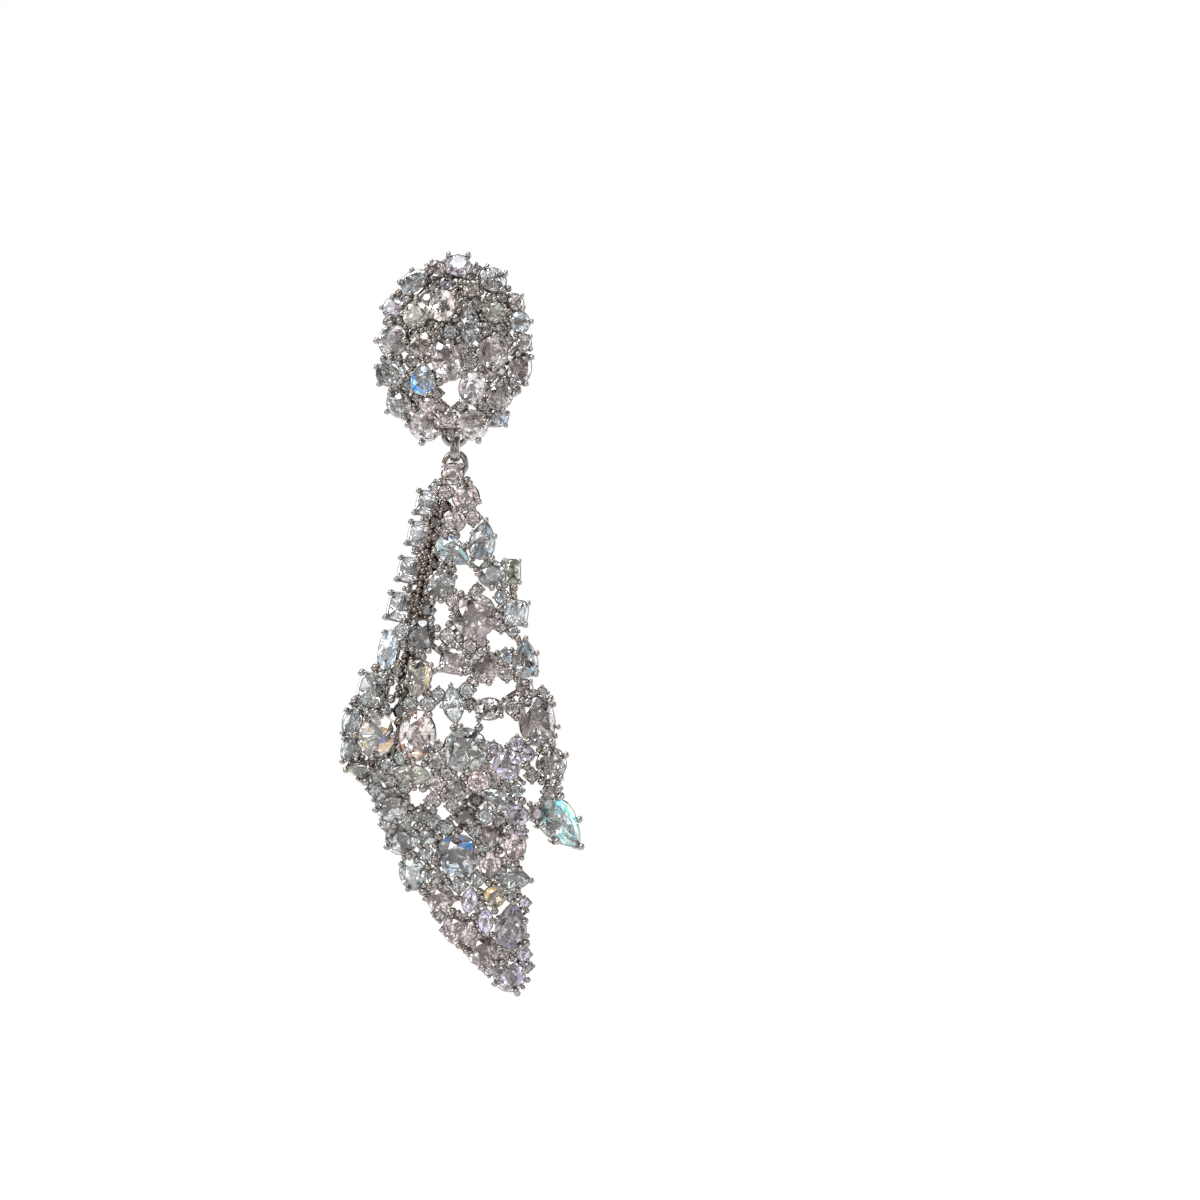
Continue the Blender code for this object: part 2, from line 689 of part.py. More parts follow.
def add_back(seats, helpers):
    """The cluster's open back: an oval ring on short posts, with a bridge and the flat pad."""
    wire = RING_WIRE / 2
    ring = ring_wire(Vector((0, RING_Y, 0)), RING_WIDTH / 2, wire, wire, RING_STEPS, RING_SIDES, Y_AXIS)
    for vertex in ring.verts:
        radius = math.hypot(vertex.co.x, vertex.co.z)
        longer = (RING_HEIGHT - RING_WIDTH) / 2
        vertex.co.z = DOME_CENTRE_Z + vertex.co.z * (radius + longer) / radius
    add_object("back_ring", ring, METAL, helpers)
    for i, seat in enumerate(seats):
        out = Vector((seat.middle.x / DOME_WIDTH, (seat.middle.z - DOME_CENTRE_Z) / DOME_HEIGHT))
        if out.length < RIM_SHARE or not seat.has_post:
            continue
        foot = ring_point(math.atan2(out.x, out.y))
        add_object(f"post_{i}", rod(foot, seat.bar_end(), BAR_WIDTH, BAR_SIDES), METAL, helpers)
    half_bridge = math.sqrt(1 - (DOME_CENTRE_Z / (RING_HEIGHT / 2)) ** 2) * RING_WIDTH / 2
    bridge = bmesh.new()
    place = Matrix.Translation((0, -BRIDGE_RECESS - BRIDGE_THICKNESS / 2, 0))
    size = Matrix.Diagonal((2 * half_bridge, BRIDGE_THICKNESS, BRIDGE_WIDTH, 1))
    bmesh.ops.create_cube(bridge, size=1, matrix=place @ size)
    add_object("bridge", bridge, METAL, helpers)
    pad = rod(Vector((0, -PAD_THICKNESS, 0)), Vector((0, 0, 0)), PAD_WIDTH, TURNED_SIDES)
    shade_round(add_object("pad", pad, METAL, helpers))


def add_post(cutters):
    """The ear post, and the socket that it is set in."""
    seat = Vector((0, -POST_SEAT_DEPTH, 0))
    tip = Vector((0, POST_LENGTH - POST_TIP_LENGTH, 0))
    end = Vector((0, POST_LENGTH, 0))
    post = rod(seat, tip, POST_WIDTH, TURNED_SIDES)
    point = rod(tip, end, POST_WIDTH, TURNED_SIDES, POST_TIP_WIDTH)
    bmesh.ops.delete(point, geom=[f for f in point.faces if f.normal.y < -0.9], context="FACES")
    mesh = bpy.data.meshes.new("point")
    point.to_mesh(mesh)
    bmesh.ops.delete(post, geom=[f for f in post.faces if f.normal.y > 0.9], context="FACES")
    post.from_mesh(mesh)
    point.free()
    bmesh.ops.remove_doubles(post, verts=post.verts, dist=MERGE_DISTANCE)
    shade_round(add_object("ear_post", post, METAL))
    socket_floor = seat - Vector((0, POST_GAP, 0))
    socket_end = Vector((0, SOCKET_OVERCUT, 0))
    socket = rod(socket_floor, socket_end, POST_WIDTH + 2 * POST_GAP, TURNED_SIDES)
    add_object("post_socket", socket, METAL, cutters)


def add_dome():
    helpers = helper_collection("dome_helpers")
    cutters = helper_collection("dome_cutters")
    seats = dome_seats()
    add_settings(seats, helpers)
    add_seat_cutters(seats, cutters)
    add_hanger(DOME_LOOP_Z + LOOP_RADIUS, seats, helpers)
    add_back(seats, helpers)
    add_post(cutters)
    soldered("dome_frame", loop_wire(DOME_LOOP_Z), helpers, cutters)
    add_stones("dome", seats)


def add_link(pivot):
    """The flat link, a ring drawn out to its length, in the plane seen edge-on from the front."""
    middle_z = (LINK_TOP_Z + LINK_FOOT_Z) / 2
    stretch = (LINK_TOP_Z - LINK_FOOT_Z) / 2 - LINK_RADIUS
    centre = Vector((0, LOOP_Y, middle_z))
    link = ring_wire(centre, LINK_RADIUS, LINK_WIDTH / 2, WIRE, LOOP_STEPS, WIRE_SIDES, X_AXIS)
    for vertex in link.verts:
        vertex.co.z += math.copysign(stretch, vertex.co.z - middle_z)
    piece = add_object("neck_link", link, METAL)
    shade_round(piece)
    hang(piece, pivot)


def add_fold_rail(helpers):
    """The wire along the fold, behind the stones where the front and side panels meet."""
    points = []
    for share in FOLD_RAIL_SHARES:
        across = FOLD_HEAD[0] + (FOLD_FOOT[0] - FOLD_HEAD[0]) * share
        down = FOLD_HEAD[1] + (FOLD_FOOT[1] - FOLD_HEAD[1]) * share
        x, z = drop_place(across, down)
        points.append(Vector((x, front_depth(x, z) + FOLD_RAIL_SETBACK, z)))
    for i, (start, end) in enumerate(zip(points, points[1:])):
        reach = (end - start).normalized() * FOLD_RAIL_OVERLAP
        rail = rod(start - reach, end + reach, FOLD_RAIL_WIDTH, FOLD_RAIL_SIDES)
        add_object(f"rail_{i}", rail, METAL, helpers)


def add_drop(pivot):
    helpers = helper_collection("drop_helpers")
    cutters = helper_collection("drop_cutters")
    seats = drop_seats()
    add_settings(seats, helpers)
    add_seat_cutters(seats, cutters)
    add_hanger(DROP_LOOP_Z - LOOP_RADIUS, seats, helpers)
    add_fold_rail(helpers)
    frame = soldered("drop_frame", loop_wire(DROP_LOOP_Z), helpers, cutters)
    for piece in [frame, *add_stones("drop", seats)]:
        hang(piece, pivot)


clear_scene()
add_dome()
link_pivot = add_pivot("link_pivot", DOME_LOOP_Z - LOOP_RADIUS)
drop_pivot = add_pivot("drop_pivot", LINK_FOOT_Z)
hang(drop_pivot, link_pivot)
add_link(link_pivot)
add_drop(drop_pivot)
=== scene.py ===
# %% [markdown]
# # A chandelier earring
# The earring is a domed cluster of claw-set stones on a post, with a long openwork drop folded like a
# kerchief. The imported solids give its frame: where every stone sits and how the drop swings.
# This lesson dresses that frame. It cuts real facets, bends real claws and gives the metal its plate.

# %% Load the frame
import math
import random

import bmesh
import bpy
import numpy as np
from mathutils import Matrix, Vector


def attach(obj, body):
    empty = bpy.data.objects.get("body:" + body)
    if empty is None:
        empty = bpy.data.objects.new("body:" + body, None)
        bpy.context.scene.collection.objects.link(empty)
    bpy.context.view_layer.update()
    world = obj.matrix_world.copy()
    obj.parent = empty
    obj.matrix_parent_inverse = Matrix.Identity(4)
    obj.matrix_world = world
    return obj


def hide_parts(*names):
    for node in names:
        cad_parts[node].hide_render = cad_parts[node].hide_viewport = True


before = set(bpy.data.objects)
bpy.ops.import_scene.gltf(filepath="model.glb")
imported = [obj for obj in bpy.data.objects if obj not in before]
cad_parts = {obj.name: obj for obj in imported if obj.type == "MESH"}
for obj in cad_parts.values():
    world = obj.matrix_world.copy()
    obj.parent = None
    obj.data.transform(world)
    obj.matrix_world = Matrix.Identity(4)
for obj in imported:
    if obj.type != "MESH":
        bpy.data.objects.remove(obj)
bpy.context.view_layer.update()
MM = 0.001

# %% [markdown]
# ## Working by hand, in code
# An operator acts on whatever is selected, so each step starts by clearing the selection. A finished
# piece keeps its place in its mesh, with its object at the origin, as the solids do.


# %% Small helpers
def deselect():
    if bpy.context.object and bpy.context.object.mode != "OBJECT":
        bpy.ops.object.mode_set(mode="OBJECT")
    bpy.ops.object.select_all(action="DESELECT")


def activate(obj):
    deselect()
    obj.select_set(True)
    bpy.context.view_layer.objects.active = obj


def start_edit():
    """Edit mode, with everything selected."""
    bpy.ops.object.mode_set(mode="EDIT")
    bpy.ops.mesh.select_all(action="SELECT")


def end_edit():
    bpy.ops.object.mode_set(mode="OBJECT")


def renamed(name):
    obj = bpy.context.object
    obj.name = name
    obj.data.name = name
    return obj


def named(name):
    """Gives the active object its name, and puts its place into its mesh."""
    obj = renamed(name)
    bpy.ops.object.transform_apply(location=True, rotation=True, scale=True)
    return obj


def outward_normals(obj):
    activate(obj)
    start_edit()
    bpy.ops.mesh.normals_make_consistent(inside=False)
    end_edit()


def copy_of(unit, place):
    """A copy with its own mesh, moved into place."""
    made = bpy.data.objects.new(unit.name, unit.data.copy())
    made.data.transform(place)
    bpy.context.scene.collection.objects.link(made)
    return made


def joined(name, pieces):
    """One object out of many."""
    deselect()
    for piece in pieces:
        piece.select_set(True)
    bpy.context.view_layer.objects.active = pieces[0]
    bpy.ops.object.join()
    return renamed(name)


def smooth(obj, degrees):
    activate(obj)
    bpy.ops.object.shade_smooth_by_angle(angle=math.radians(degrees))


print("helpers ready")

# %% [markdown]
# ## The outline of each cut
# A stone is named by its outline from above: round, oval, pear, marquise or cushion. Every outline here
# comes from a circle, whose points are pulled in or squared, so that one facet plan fits them all.

# %% Outlines
CUTS = ("round", "oval", "pear", "marquise", "cushion")
CUSHION_SQUARENESS = 0.5
CUSHION_TRIM = 0.94
PEAR_TAPER = 0.7


def pear_half_width(angle):
    return math.sin(angle) * math.sin(angle / 2) ** PEAR_TAPER


PEAR_WIDEST = max(pear_half_width(math.radians(degree)) for degree in range(181))


def unit_outline(cut, angle):
    """A point of the outline, in half lengths and half widths, at an angle from the stone's head."""
    along, across = math.cos(angle), math.sin(angle)
    if cut == "cushion":
        along = math.copysign(abs(along) ** CUSHION_SQUARENESS, along) * CUSHION_TRIM
        across = math.copysign(abs(across) ** CUSHION_SQUARENESS, across) * CUSHION_TRIM
    elif cut == "pear":
        across = math.copysign(pear_half_width(math.acos(math.cos(angle))) / PEAR_WIDEST, across)
    elif cut == "marquise":
        across = math.copysign(across * across, across)
    return along, across


def bend_rings(mesh, cut):
    """Bends rings, in edit mode, to the outline of a cut."""
    bm = bmesh.from_edit_mesh(mesh)
    for vertex in bm.verts:
        size = vertex.co.xy.length
        along, across = unit_outline(cut, math.atan2(vertex.co.y, vertex.co.x))
        vertex.co.x, vertex.co.y = along * size, across * size
    bmesh.update_edit_mesh(mesh)


print("cuts:", CUTS)

# %% [markdown]
# ## Cutting the facets
# A brilliant has a flat table, eight star facets, eight kites and sixteen girdle facets on its crown, and
# sixteen long facets and eight mains that meet in the culet below. The corners of all these lie on a few
# level rings. So each ring is added as a circle, bent to the outline, and the convex hull of the corners
# is the cut stone, because a brilliant bulges everywhere. Grinding it plane by plane would also work,
# but a pear's facets then meet less neatly.

# %% Unit stones
CROWN, PAVILION, GIRDLE = 0.34, 0.84, 0.025  # heights in half widths
TABLE = 0.58
FACET_RINGS = (
    # corners, radius, height, first corner's angle
    (8, TABLE, CROWN, 0.0),
    (8, 0.80, 0.215, 22.5),
    (16, 1.0, GIRDLE, 0.0),
    (16, 1.0, -GIRDLE, 0.0),
    (8, 0.30, -0.625, 22.5),
    (8, 0.04, -PAVILION, 0.0),
)


def cut_stone(cut):
    deselect()
    bpy.ops.mesh.primitive_circle_add(vertices=8, radius=TABLE, location=(0, 0, CROWN))
    stone = named(f"cut_{cut}")
    start_edit()
    bpy.ops.mesh.delete(type="VERT")
    for corners, radius, height, first in FACET_RINGS:
        bpy.ops.mesh.primitive_circle_add(
            vertices=corners, radius=radius, location=(0, 0, height), rotation=(0, 0, math.radians(first))
        )
    bend_rings(stone.data, cut)
    bpy.ops.mesh.select_all(action="SELECT")
    bpy.ops.mesh.convex_hull()
    bpy.ops.mesh.dissolve_limited(angle_limit=math.radians(1))
    end_edit()
    outward_normals(stone)
    return stone


UNIT_STONES = {cut: cut_stone(cut) for cut in CUTS}
print("facets:", {cut: len(stone.data.polygons) for cut, stone in UNIT_STONES.items()})

# %% [markdown]
# ## A collet
# The collet is the cup that a stone sits in: a tapered wall, open behind so that light comes through,
# with a rim at the girdle and a gallery groove below it. It is one circle, extruded and resized ring by
# ring up the outside and back down the inside, and its two ends are bridged.

# %% Unit collets
COLLET_PROFILE = (
    # radius in outline sizes, height in half widths
    (0.60, -0.98),
    (0.76, -0.70),
    (0.84, -0.52),
    (0.80, -0.46),
    (0.84, -0.40),
    (1.00, -0.14),
    (1.01, -0.04),
    (0.93, -0.02),
    (0.80, -0.28),
    (0.52, -0.72),
    (0.44, -0.98),
)


def unit_collet(cut):
    deselect()
    radius, height = COLLET_PROFILE[0]
    bpy.ops.mesh.primitive_circle_add(vertices=16, radius=radius, location=(0, 0, height))
    collet = named(f"collet_{cut}")
    start_edit()
    for wider, higher in COLLET_PROFILE[1:]:
        bpy.ops.mesh.extrude_edges_move(TRANSFORM_OT_translate={"value": (0, 0, higher - height)})
        bpy.ops.transform.resize(
            value=(wider / radius, wider / radius, 1), center_override=(0, 0, higher)
        )
        radius, height = wider, higher
    bpy.ops.mesh.select_all(action="DESELECT")
    bm = bmesh.from_edit_mesh(collet.data)
    for edge in bm.edges:
        edge.select_set(edge.is_boundary)
    bmesh.update_edit_mesh(collet.data)
    bpy.ops.mesh.bridge_edge_loops()
    bend_rings(collet.data, cut)
    end_edit()
    outward_normals(collet)
    return collet


UNIT_COLLETS = {cut: unit_collet(cut) for cut in CUTS}
print("collet faces:", {cut: len(collet.data.polygons) for cut, collet in UNIT_COLLETS.items()})

# %% [markdown]
# ## A claw and its bead
# A caster's claw is a short tapered wire. Its end is rounded over the stone's edge into a bead with a
# cup burr. There are hundreds of them, so wire and bead have only a few dozen faces each.


# %% Unit wire and bead
def unit_wire():
    deselect()
    bpy.ops.mesh.primitive_cone_add(vertices=8, radius1=0.5, radius2=0.42, depth=1)
    wire = named("unit_wire")
    smooth(wire, 50)
    return wire


def unit_bead():
    deselect()
    bpy.ops.mesh.primitive_uv_sphere_add(segments=8, ring_count=6, radius=0.5)
    bead = named("unit_bead")
    start_edit()
    bpy.ops.transform.resize(value=(1, 1, 0.9))
    end_edit()
    smooth(bead, 80)
    return bead


UNIT_WIRE = unit_wire()
UNIT_BEAD = unit_bead()


def turned_to(middle, direction):
    return Matrix.Translation(middle) @ direction.to_track_quat("Z", "Y").to_matrix().to_4x4()


def wire_between(start, end, width):
    """A length of tapered wire, thick end at the start."""
    place = turned_to((start + end) / 2, end - start)
    return copy_of(UNIT_WIRE, place @ Matrix.Diagonal((width, width, (end - start).length, 1)))


def bead_at(middle, facing, width):
    return copy_of(UNIT_BEAD, turned_to(middle, facing) @ Matrix.Diagonal((width, width, width, 1)))


print("wire faces:", len(UNIT_WIRE.data.polygons), "bead faces:", len(UNIT_BEAD.data.polygons))

# %% [markdown]
# ## Sizes of the stones
# The sizes are in chart steps of a tenth of a millimetre, the same as in the solids. Each kind is a
# calibrated stone: its cut, length and width. Claws stand round it at the angles that its cut needs.

# %% Kinds of stone
STEP = 0.1 * MM
KINDS = {
    "round_large": ("round", 43, 43),
    "round_broad": ("round", 31, 31),
    "round_medium": ("round", 26, 26),
    "round_small": ("round", 21, 21),
    "round_tiny": ("round", 16, 16),
    "cushion_large": ("cushion", 34, 34),
    "cushion_broad": ("cushion", 30, 28),
    "cushion_medium": ("cushion", 26, 24),
    "cushion_slim": ("cushion", 25, 16),
    "oval_large": ("oval", 50, 36),
    "oval_broad": ("oval", 41, 28),
    "oval_medium": ("oval", 33, 25),
    "oval_small": ("oval", 28, 21),
    "oval_long": ("oval", 41, 22),
    "pear_large": ("pear", 58, 38),
    "pear_broad": ("pear", 49, 31),
    "pear_medium": ("pear", 38, 25),
    "pear_small": ("pear", 31, 24),
    "marquise_medium": ("marquise", 38, 20),
    "marquise_small": ("marquise", 28, 15),
    "melee_14": ("round", 14, 14),
    "melee_12": ("round", 12, 12),
    "melee_10": ("round", 10, 10),
}
OWN_STEPS = 29.2  # a stone at least this long is a loose solid of its own, but for the marquises
CLAW_ANGLES = {
    "round": (45, 135, 225, 315),
    "cushion": (45, 135, 225, 315),
    "oval": (40, 140, 220, 320),
    "pear": (0, 75, 140, 220, 285),
    "marquise": (0, 90, 180, 270),
}
print("kinds:", len(KINDS))

# %% [markdown]
# ## A seat
# A seat is a stone's place: its middle at the girdle, the way it faces and the way its length points.
# Everything that belongs to the stone, from its cup to its beads, is placed from the seat.

# %% Seats
BEHIND_CULET = 0.35 * MM  # from the culet back to the collet's foot
BAR_DEPTH_SHARE = 0.7  # of that depth, where the bars meet the collet


class Seat:
    def __init__(self, kind, tone, middle, facing, turn, depth=0.0):
        self.cut, length, width = KINDS[kind]
        self.tone = tone
        self.depth = depth  # painted shade, by how deep it sits between its neighbours, from 0 to 1
        self.is_own = length >= OWN_STEPS and self.cut != "marquise"
        self.half_length, self.half_width = length / 2 * STEP, width / 2 * STEP
        self.middle = middle
        self.facing = facing.normalized()
        upright = (Vector((0, 0, 1)) - self.facing * self.facing.z).normalized()
        rightward = upright.cross(self.facing)
        angle = math.radians(turn)
        self.lengthwise = upright * math.cos(angle) + rightward * math.sin(angle)
        self.sideways = rightward * math.cos(angle) - upright * math.sin(angle)

    def edge(self, degrees, grow, height):
        """A point outside the girdle by grow, and in front of it by height."""
        along, across = unit_outline(self.cut, math.radians(degrees))
        along, across = along * self.half_length, across * self.half_width
        stretch = 1 + grow / math.hypot(along, across)
        outward = self.lengthwise * (along * stretch) + self.sideways * (across * stretch)
        return self.middle + outward + self.facing * height

    def matrix(self, grow=0.0):
        """From a unit shape to this seat: x is the length, y the width, and z goes with the width."""
        handed = self.lengthwise.cross(self.sideways).dot(self.facing)
        side = self.sideways * math.copysign(1, handed)
        turn = Matrix((self.lengthwise, side, self.facing)).transposed().to_4x4()
        size = (self.half_length + grow, self.half_width + grow, self.half_width + grow, 1)
        return Matrix.Translation(self.middle) @ turn @ Matrix.Diagonal(size)

    def back_point(self):
        return self.middle - self.facing * (self.half_width * PAVILION + BEHIND_CULET) * BAR_DEPTH_SHARE

    def covers(self, point, margin):
        offset = point - self.middle
        along = abs(offset.dot(self.lengthwise)) / (self.half_length + margin)
        across = abs(offset.dot(self.sideways)) / (self.half_width + margin)
        power = 4 if self.cut == "cushion" else 2
        return along**power + across**power < 1 and abs(offset.dot(self.facing)) < self.half_width * 2


def nearest_seat(seats, x, z):
    return min(seats, key=lambda seat: math.hypot(seat.middle.x - x, seat.middle.z - z) - seat.half_width)


print("a seat turns clockwise from the front, from its length or a pear's point standing up")

# %% [markdown]
# ## The cluster's chart
# The places are read from the photograph, in chart steps from the cluster's middle. The last column is
# the stone's tone: most are colourless with a warm or a cool cast, and a few flash a colour of their own.

# %% Chart of the cluster
DOME_WIDTH, DOME_HEIGHT = 16.5 * MM, 19.5 * MM
DOME_CENTRE_Z = -3.0 * MM
DOME_RIM_DEPTH, DOME_RISE = 3.8 * MM, 3.2 * MM
DOME_STONES = (
    # rim, clockwise from the top: kind, across, up, turn, tone
    ("round_medium", 4, 83, 0, "lilac"),
    ("round_medium", 39, 68, 20, "cool"),
    ("round_tiny", 62, 46, 0, "warm"),
    ("round_small", 66, 26, 45, "ice"),
    ("round_tiny", 70, 5, 0, "warm"),
    ("oval_medium", 66, -21, 10, "warm"),
    ("round_medium", 46, -49, 30, "warm"),
    ("round_tiny", 46, -71, 0, "blue"),
    ("round_broad", 18, -78, 20, "warm"),
    ("round_tiny", -6, -72, 0, "warm"),
    ("round_broad", -30, -79, 60, "warm"),
    ("round_medium", -56, -57, 20, "cool"),
    ("oval_medium", -64, -26, 85, "smoke"),
    ("round_broad", -62, 7, 45, "warm"),
    ("round_small", -62, 40, 45, "lilac"),
    ("pear_small", -39, 67, 45, "cool"),
    ("round_tiny", -17, 80, 0, "warm"),
    # inside the rim
    ("round_medium", -38, 33, 45, "olive"),
    ("oval_medium", -11, 41, 10, "cream"),
    ("round_tiny", 17, 58, 0, "umber"),
    ("marquise_medium", 16, 21, 0, "cool"),
    ("round_small", 40, 36, 45, "olive"),
    ("oval_broad", -7, -14, 155, "warm"),
    ("round_broad", 39, -5, 45, "warm"),
    ("round_small", -34, 2, 30, "umber"),
    ("pear_small", -31, -32, 8, "aqua"),
    ("oval_medium", 18, -41, 0, "warm"),
    ("round_tiny", -26, -58, 0, "pink"),
)
print("stones charted in the cluster:", len(DOME_STONES))


# %% Seats of the cluster
def facing_of(depth, x, z):
    """The way a surface faces, whose depth is a function of place."""
    step = 0.01 * MM
    slope_x = (depth(x + step, z) - depth(x - step, z)) / (2 * step)
    slope_z = (depth(x, z + step) - depth(x, z - step)) / (2 * step)
    return Vector((slope_x, -1, slope_z)).normalized()


def on_surface(depth, x, z):
    return Vector((x, depth(x, z), z)), facing_of(depth, x, z)


def dome_depth(x, z):
    out = (x / (DOME_WIDTH / 2)) ** 2 + ((z - DOME_CENTRE_Z) / (DOME_HEIGHT / 2)) ** 2
    return -(DOME_RIM_DEPTH + DOME_RISE * (1 - out))


def dome_place(across, up):
    return across * STEP, DOME_CENTRE_Z + up * STEP


dome_seats = [
    Seat(kind, tone, *on_surface(dome_depth, *dome_place(across, up)), turn)
    for kind, across, up, turn, tone in DOME_STONES
]
print("the cluster's middle stands", round(-dome_depth(0, DOME_CENTRE_Z) / MM, 1), "mm before the ear")

# %% [markdown]
# ## Loops and link
# A flat oval link joins the cluster's loop to the drop's loop. The loops lie across the view and the link
# edge-on, so that each can rock in the next. Their heights follow from one another.

# %% Heights of the loops
WIRE_WIDTH = 0.6 * MM
LOOP_HOLE = 1.6 * MM
LOOP_RADIUS = LOOP_HOLE / 2 + WIRE_WIDTH / 2
LINK_WIDTH = 1.0 * MM
LINK_RADIUS = 0.5 * MM + WIRE_WIDTH / 2
LINK_PLAY, LOOP_SPACE = 0.1 * MM, 0.15 * MM
LOOP_Y = -2.2 * MM
DOME_LOOP_Z = DOME_CENTRE_Z - DOME_HEIGHT / 2 * 0.88
LINK_TOP_Z = DOME_LOOP_Z - (LOOP_HOLE / 2 - WIRE_WIDTH / 2 - LINK_PLAY) * 0.65
DROP_PIVOT_Z = DOME_LOOP_Z - LOOP_RADIUS - WIRE_WIDTH - LOOP_SPACE
LINK_FOOT_Z = DROP_PIVOT_Z - WIRE_WIDTH - LINK_PLAY
DROP_LOOP_Z = DROP_PIVOT_Z - LOOP_RADIUS
DROP_HEAD_Z = DROP_LOOP_Z - LOOP_SPACE
print("loops at", round(DOME_LOOP_Z, 5), round(DROP_LOOP_Z, 5))

# %% [markdown]
# ## The drop's chart
# The drop is folded like a kerchief: a front panel, a side panel that turns back from it, and a lower
# panel that hangs further back. A stone is placed on its panel by steps across and down.

# %% Chart of the drop
FRONT_STONES = (
    # kind, across, down, turn, tone
    ("round_small", 4, 9, 0, "pink"),
    ("round_medium", 17, 32, 65, "pink"),
    ("round_small", 6, 56, 45, "pink"),
    ("pear_medium", 34, 75, 10, "ice"),
    ("pear_medium", 4, 87, 125, "cyan"),
    ("oval_medium", -8, 120, 30, "smoke"),
    ("round_medium", 43, 109, 45, "cool"),
    ("cushion_slim", 64, 107, 0, "olive"),
    ("round_large", 26, 151, 45, "warm"),
    ("cushion_medium", 68, 148, 8, "ice"),
    ("oval_medium", -27, 172, 5, "smoke"),
    ("cushion_medium", 4, 196, 10, "warm"),
    ("round_broad", 36, 202, 30, "warm"),
    ("pear_medium", 77, 194, 0, "ice"),
    ("round_tiny", 76, 223, 0, "warm"),
    ("pear_medium", -30, 214, 190, "yellow"),
    ("marquise_medium", 5, 240, 172, "cool"),
    ("oval_small", 41, 244, 90, "warm"),
    ("oval_large", 89, 257, 0, "warm"),
    ("round_broad", 103, 299, 15, "warm"),
    ("round_tiny", 102, 327, 45, "warm"),
    ("pear_large", 113, 360, 140, "green"),
    ("round_large", 17, 285, 30, "cool"),
    ("oval_large", -31, 270, 0, "peach"),
    ("cushion_broad", 59, 299, 15, "lilac"),
    ("round_tiny", -11, 295, 0, "warm"),
    ("round_small", 30, 316, 20, "pink"),
    ("round_small", 8, 325, 45, "warm"),
    ("marquise_medium", -36, 309, 97, "olive"),
    ("round_tiny", -12, 318, 45, "warm"),
    ("marquise_medium", 51, 334, 118, "cool"),
    ("round_small", 69, 351, 45, "lilac"),
    ("round_tiny", 88, 349, 45, "warm"),
)
SIDE_STONES = (
    ("cushion_medium", -23, 38, 8, "slate"),
    ("cushion_medium", -31, 69, 8, "slate"),
    ("cushion_medium", -41, 105, 8, "slate"),
    ("cushion_broad", -50, 142, 8, "slate"),
    ("oval_long", -61, 185, 8, "ice"),
    ("cushion_large", -78, 225, 12, "smoke"),
    ("round_large", -72, 271, 45, "yellow"),
    ("oval_small", -98, 258, 5, "cool"),
    ("oval_small", -99, 286, 0, "cool"),
)
LOWER_STONES = (
    ("round_broad", -58, 341, 30, "smoke"),
    ("round_tiny", -29, 351, 45, "cool"),
    ("round_small", 16, 352, 45, "smoke"),
    ("round_broad", -48, 376, 20, "cool"),
    ("round_tiny", -22, 373, 45, "cool"),
    ("round_large", 8, 393, 45, "azure"),
    ("round_small", 44, 373, 45, "warm"),
    ("oval_small", 66, 383, 0, "pink"),
    ("oval_medium", -37, 411, 165, "cool"),
    ("round_tiny", -14, 413, 45, "smoke"),
    ("oval_small", 41, 402, 0, "pink"),
    ("pear_small", 66, 416, 95, "smoke"),
    ("round_medium", -9, 436, 45, "warm"),
    ("marquise_small", 20, 438, 10, "lilac"),
    ("round_small", 45, 434, 45, "gold"),
    ("round_broad", 9, 467, 45, "pink"),
    ("marquise_small", 36, 459, 0, "lilac"),
    ("pear_broad", 62, 464, 5, "lilac"),
    ("round_broad", 33, 489, 45, "pink"),
    ("round_broad", 60, 515, 20, "lilac"),
)
DROP_STONES = {"front": FRONT_STONES, "side": SIDE_STONES, "lower": LOWER_STONES}
print("stones charted in the drop:", {panel: len(rows) for panel, rows in DROP_STONES.items()})

# %% [markdown]
# Each panel is a surface whose depth depends on the place. The front one leans forward and curls back at
# its right edge, the side one turns back at the fold, and the lower one hangs behind the front one's foot,
# in the shade of the others. The side and lower panels' shade is painted on their stones and metal.

# %% Panels
DROP_FRONT_Y = -3.1 * MM
DROP_CHART_AXIS = 6
FOLD_HEAD, FOLD_FOOT, FRONT_FOOT = (-4, 35), (-56, 290), 330
FRONT_LEAN, SIDE_TURN, LOWER_LEAN = (math.tan(math.radians(degrees)) for degrees in (4, 30, 8))
FRONT_CURL = 22
LOWER_SETBACK = 3.4 * MM


def drop_place(across, down):
    return (across - DROP_CHART_AXIS) * STEP, DROP_HEAD_Z - down * STEP


def front_depth(x, z):
    curl = FRONT_CURL * x * abs(x) if x > 0 else 0
    return DROP_FRONT_Y + (z - DROP_HEAD_Z) * FRONT_LEAN + curl


def fold_across(z):
    (head_x, head_z), (foot_x, foot_z) = drop_place(*FOLD_HEAD), drop_place(*FOLD_FOOT)
    return head_x + (foot_x - head_x) * (z - head_z) / (foot_z - head_z)


def side_depth(x, z):
    fold_x = fold_across(z)
    return front_depth(fold_x, z) + (fold_x - x) * SIDE_TURN


def lower_depth(x, z):
    head_z = drop_place(0, FRONT_FOOT)[1]
    return front_depth(0, head_z) + LOWER_SETBACK + (head_z - z) * LOWER_LEAN


# a panel's depth, and how much painted shade the others give it
PANELS = {"front": (front_depth, 0.0), "side": (side_depth, 0.05), "lower": (lower_depth, 0.14)}
drop_seats, drop_depths = [], []
for panel, rows in DROP_STONES.items():
    depth, shade = PANELS[panel]
    for kind, across, down, turn, tone in rows:
        drop_seats.append(Seat(kind, tone, *on_surface(depth, *drop_place(across, down)), turn, shade))
        drop_depths.append(depth)
print("seats in the drop:", len(drop_seats))
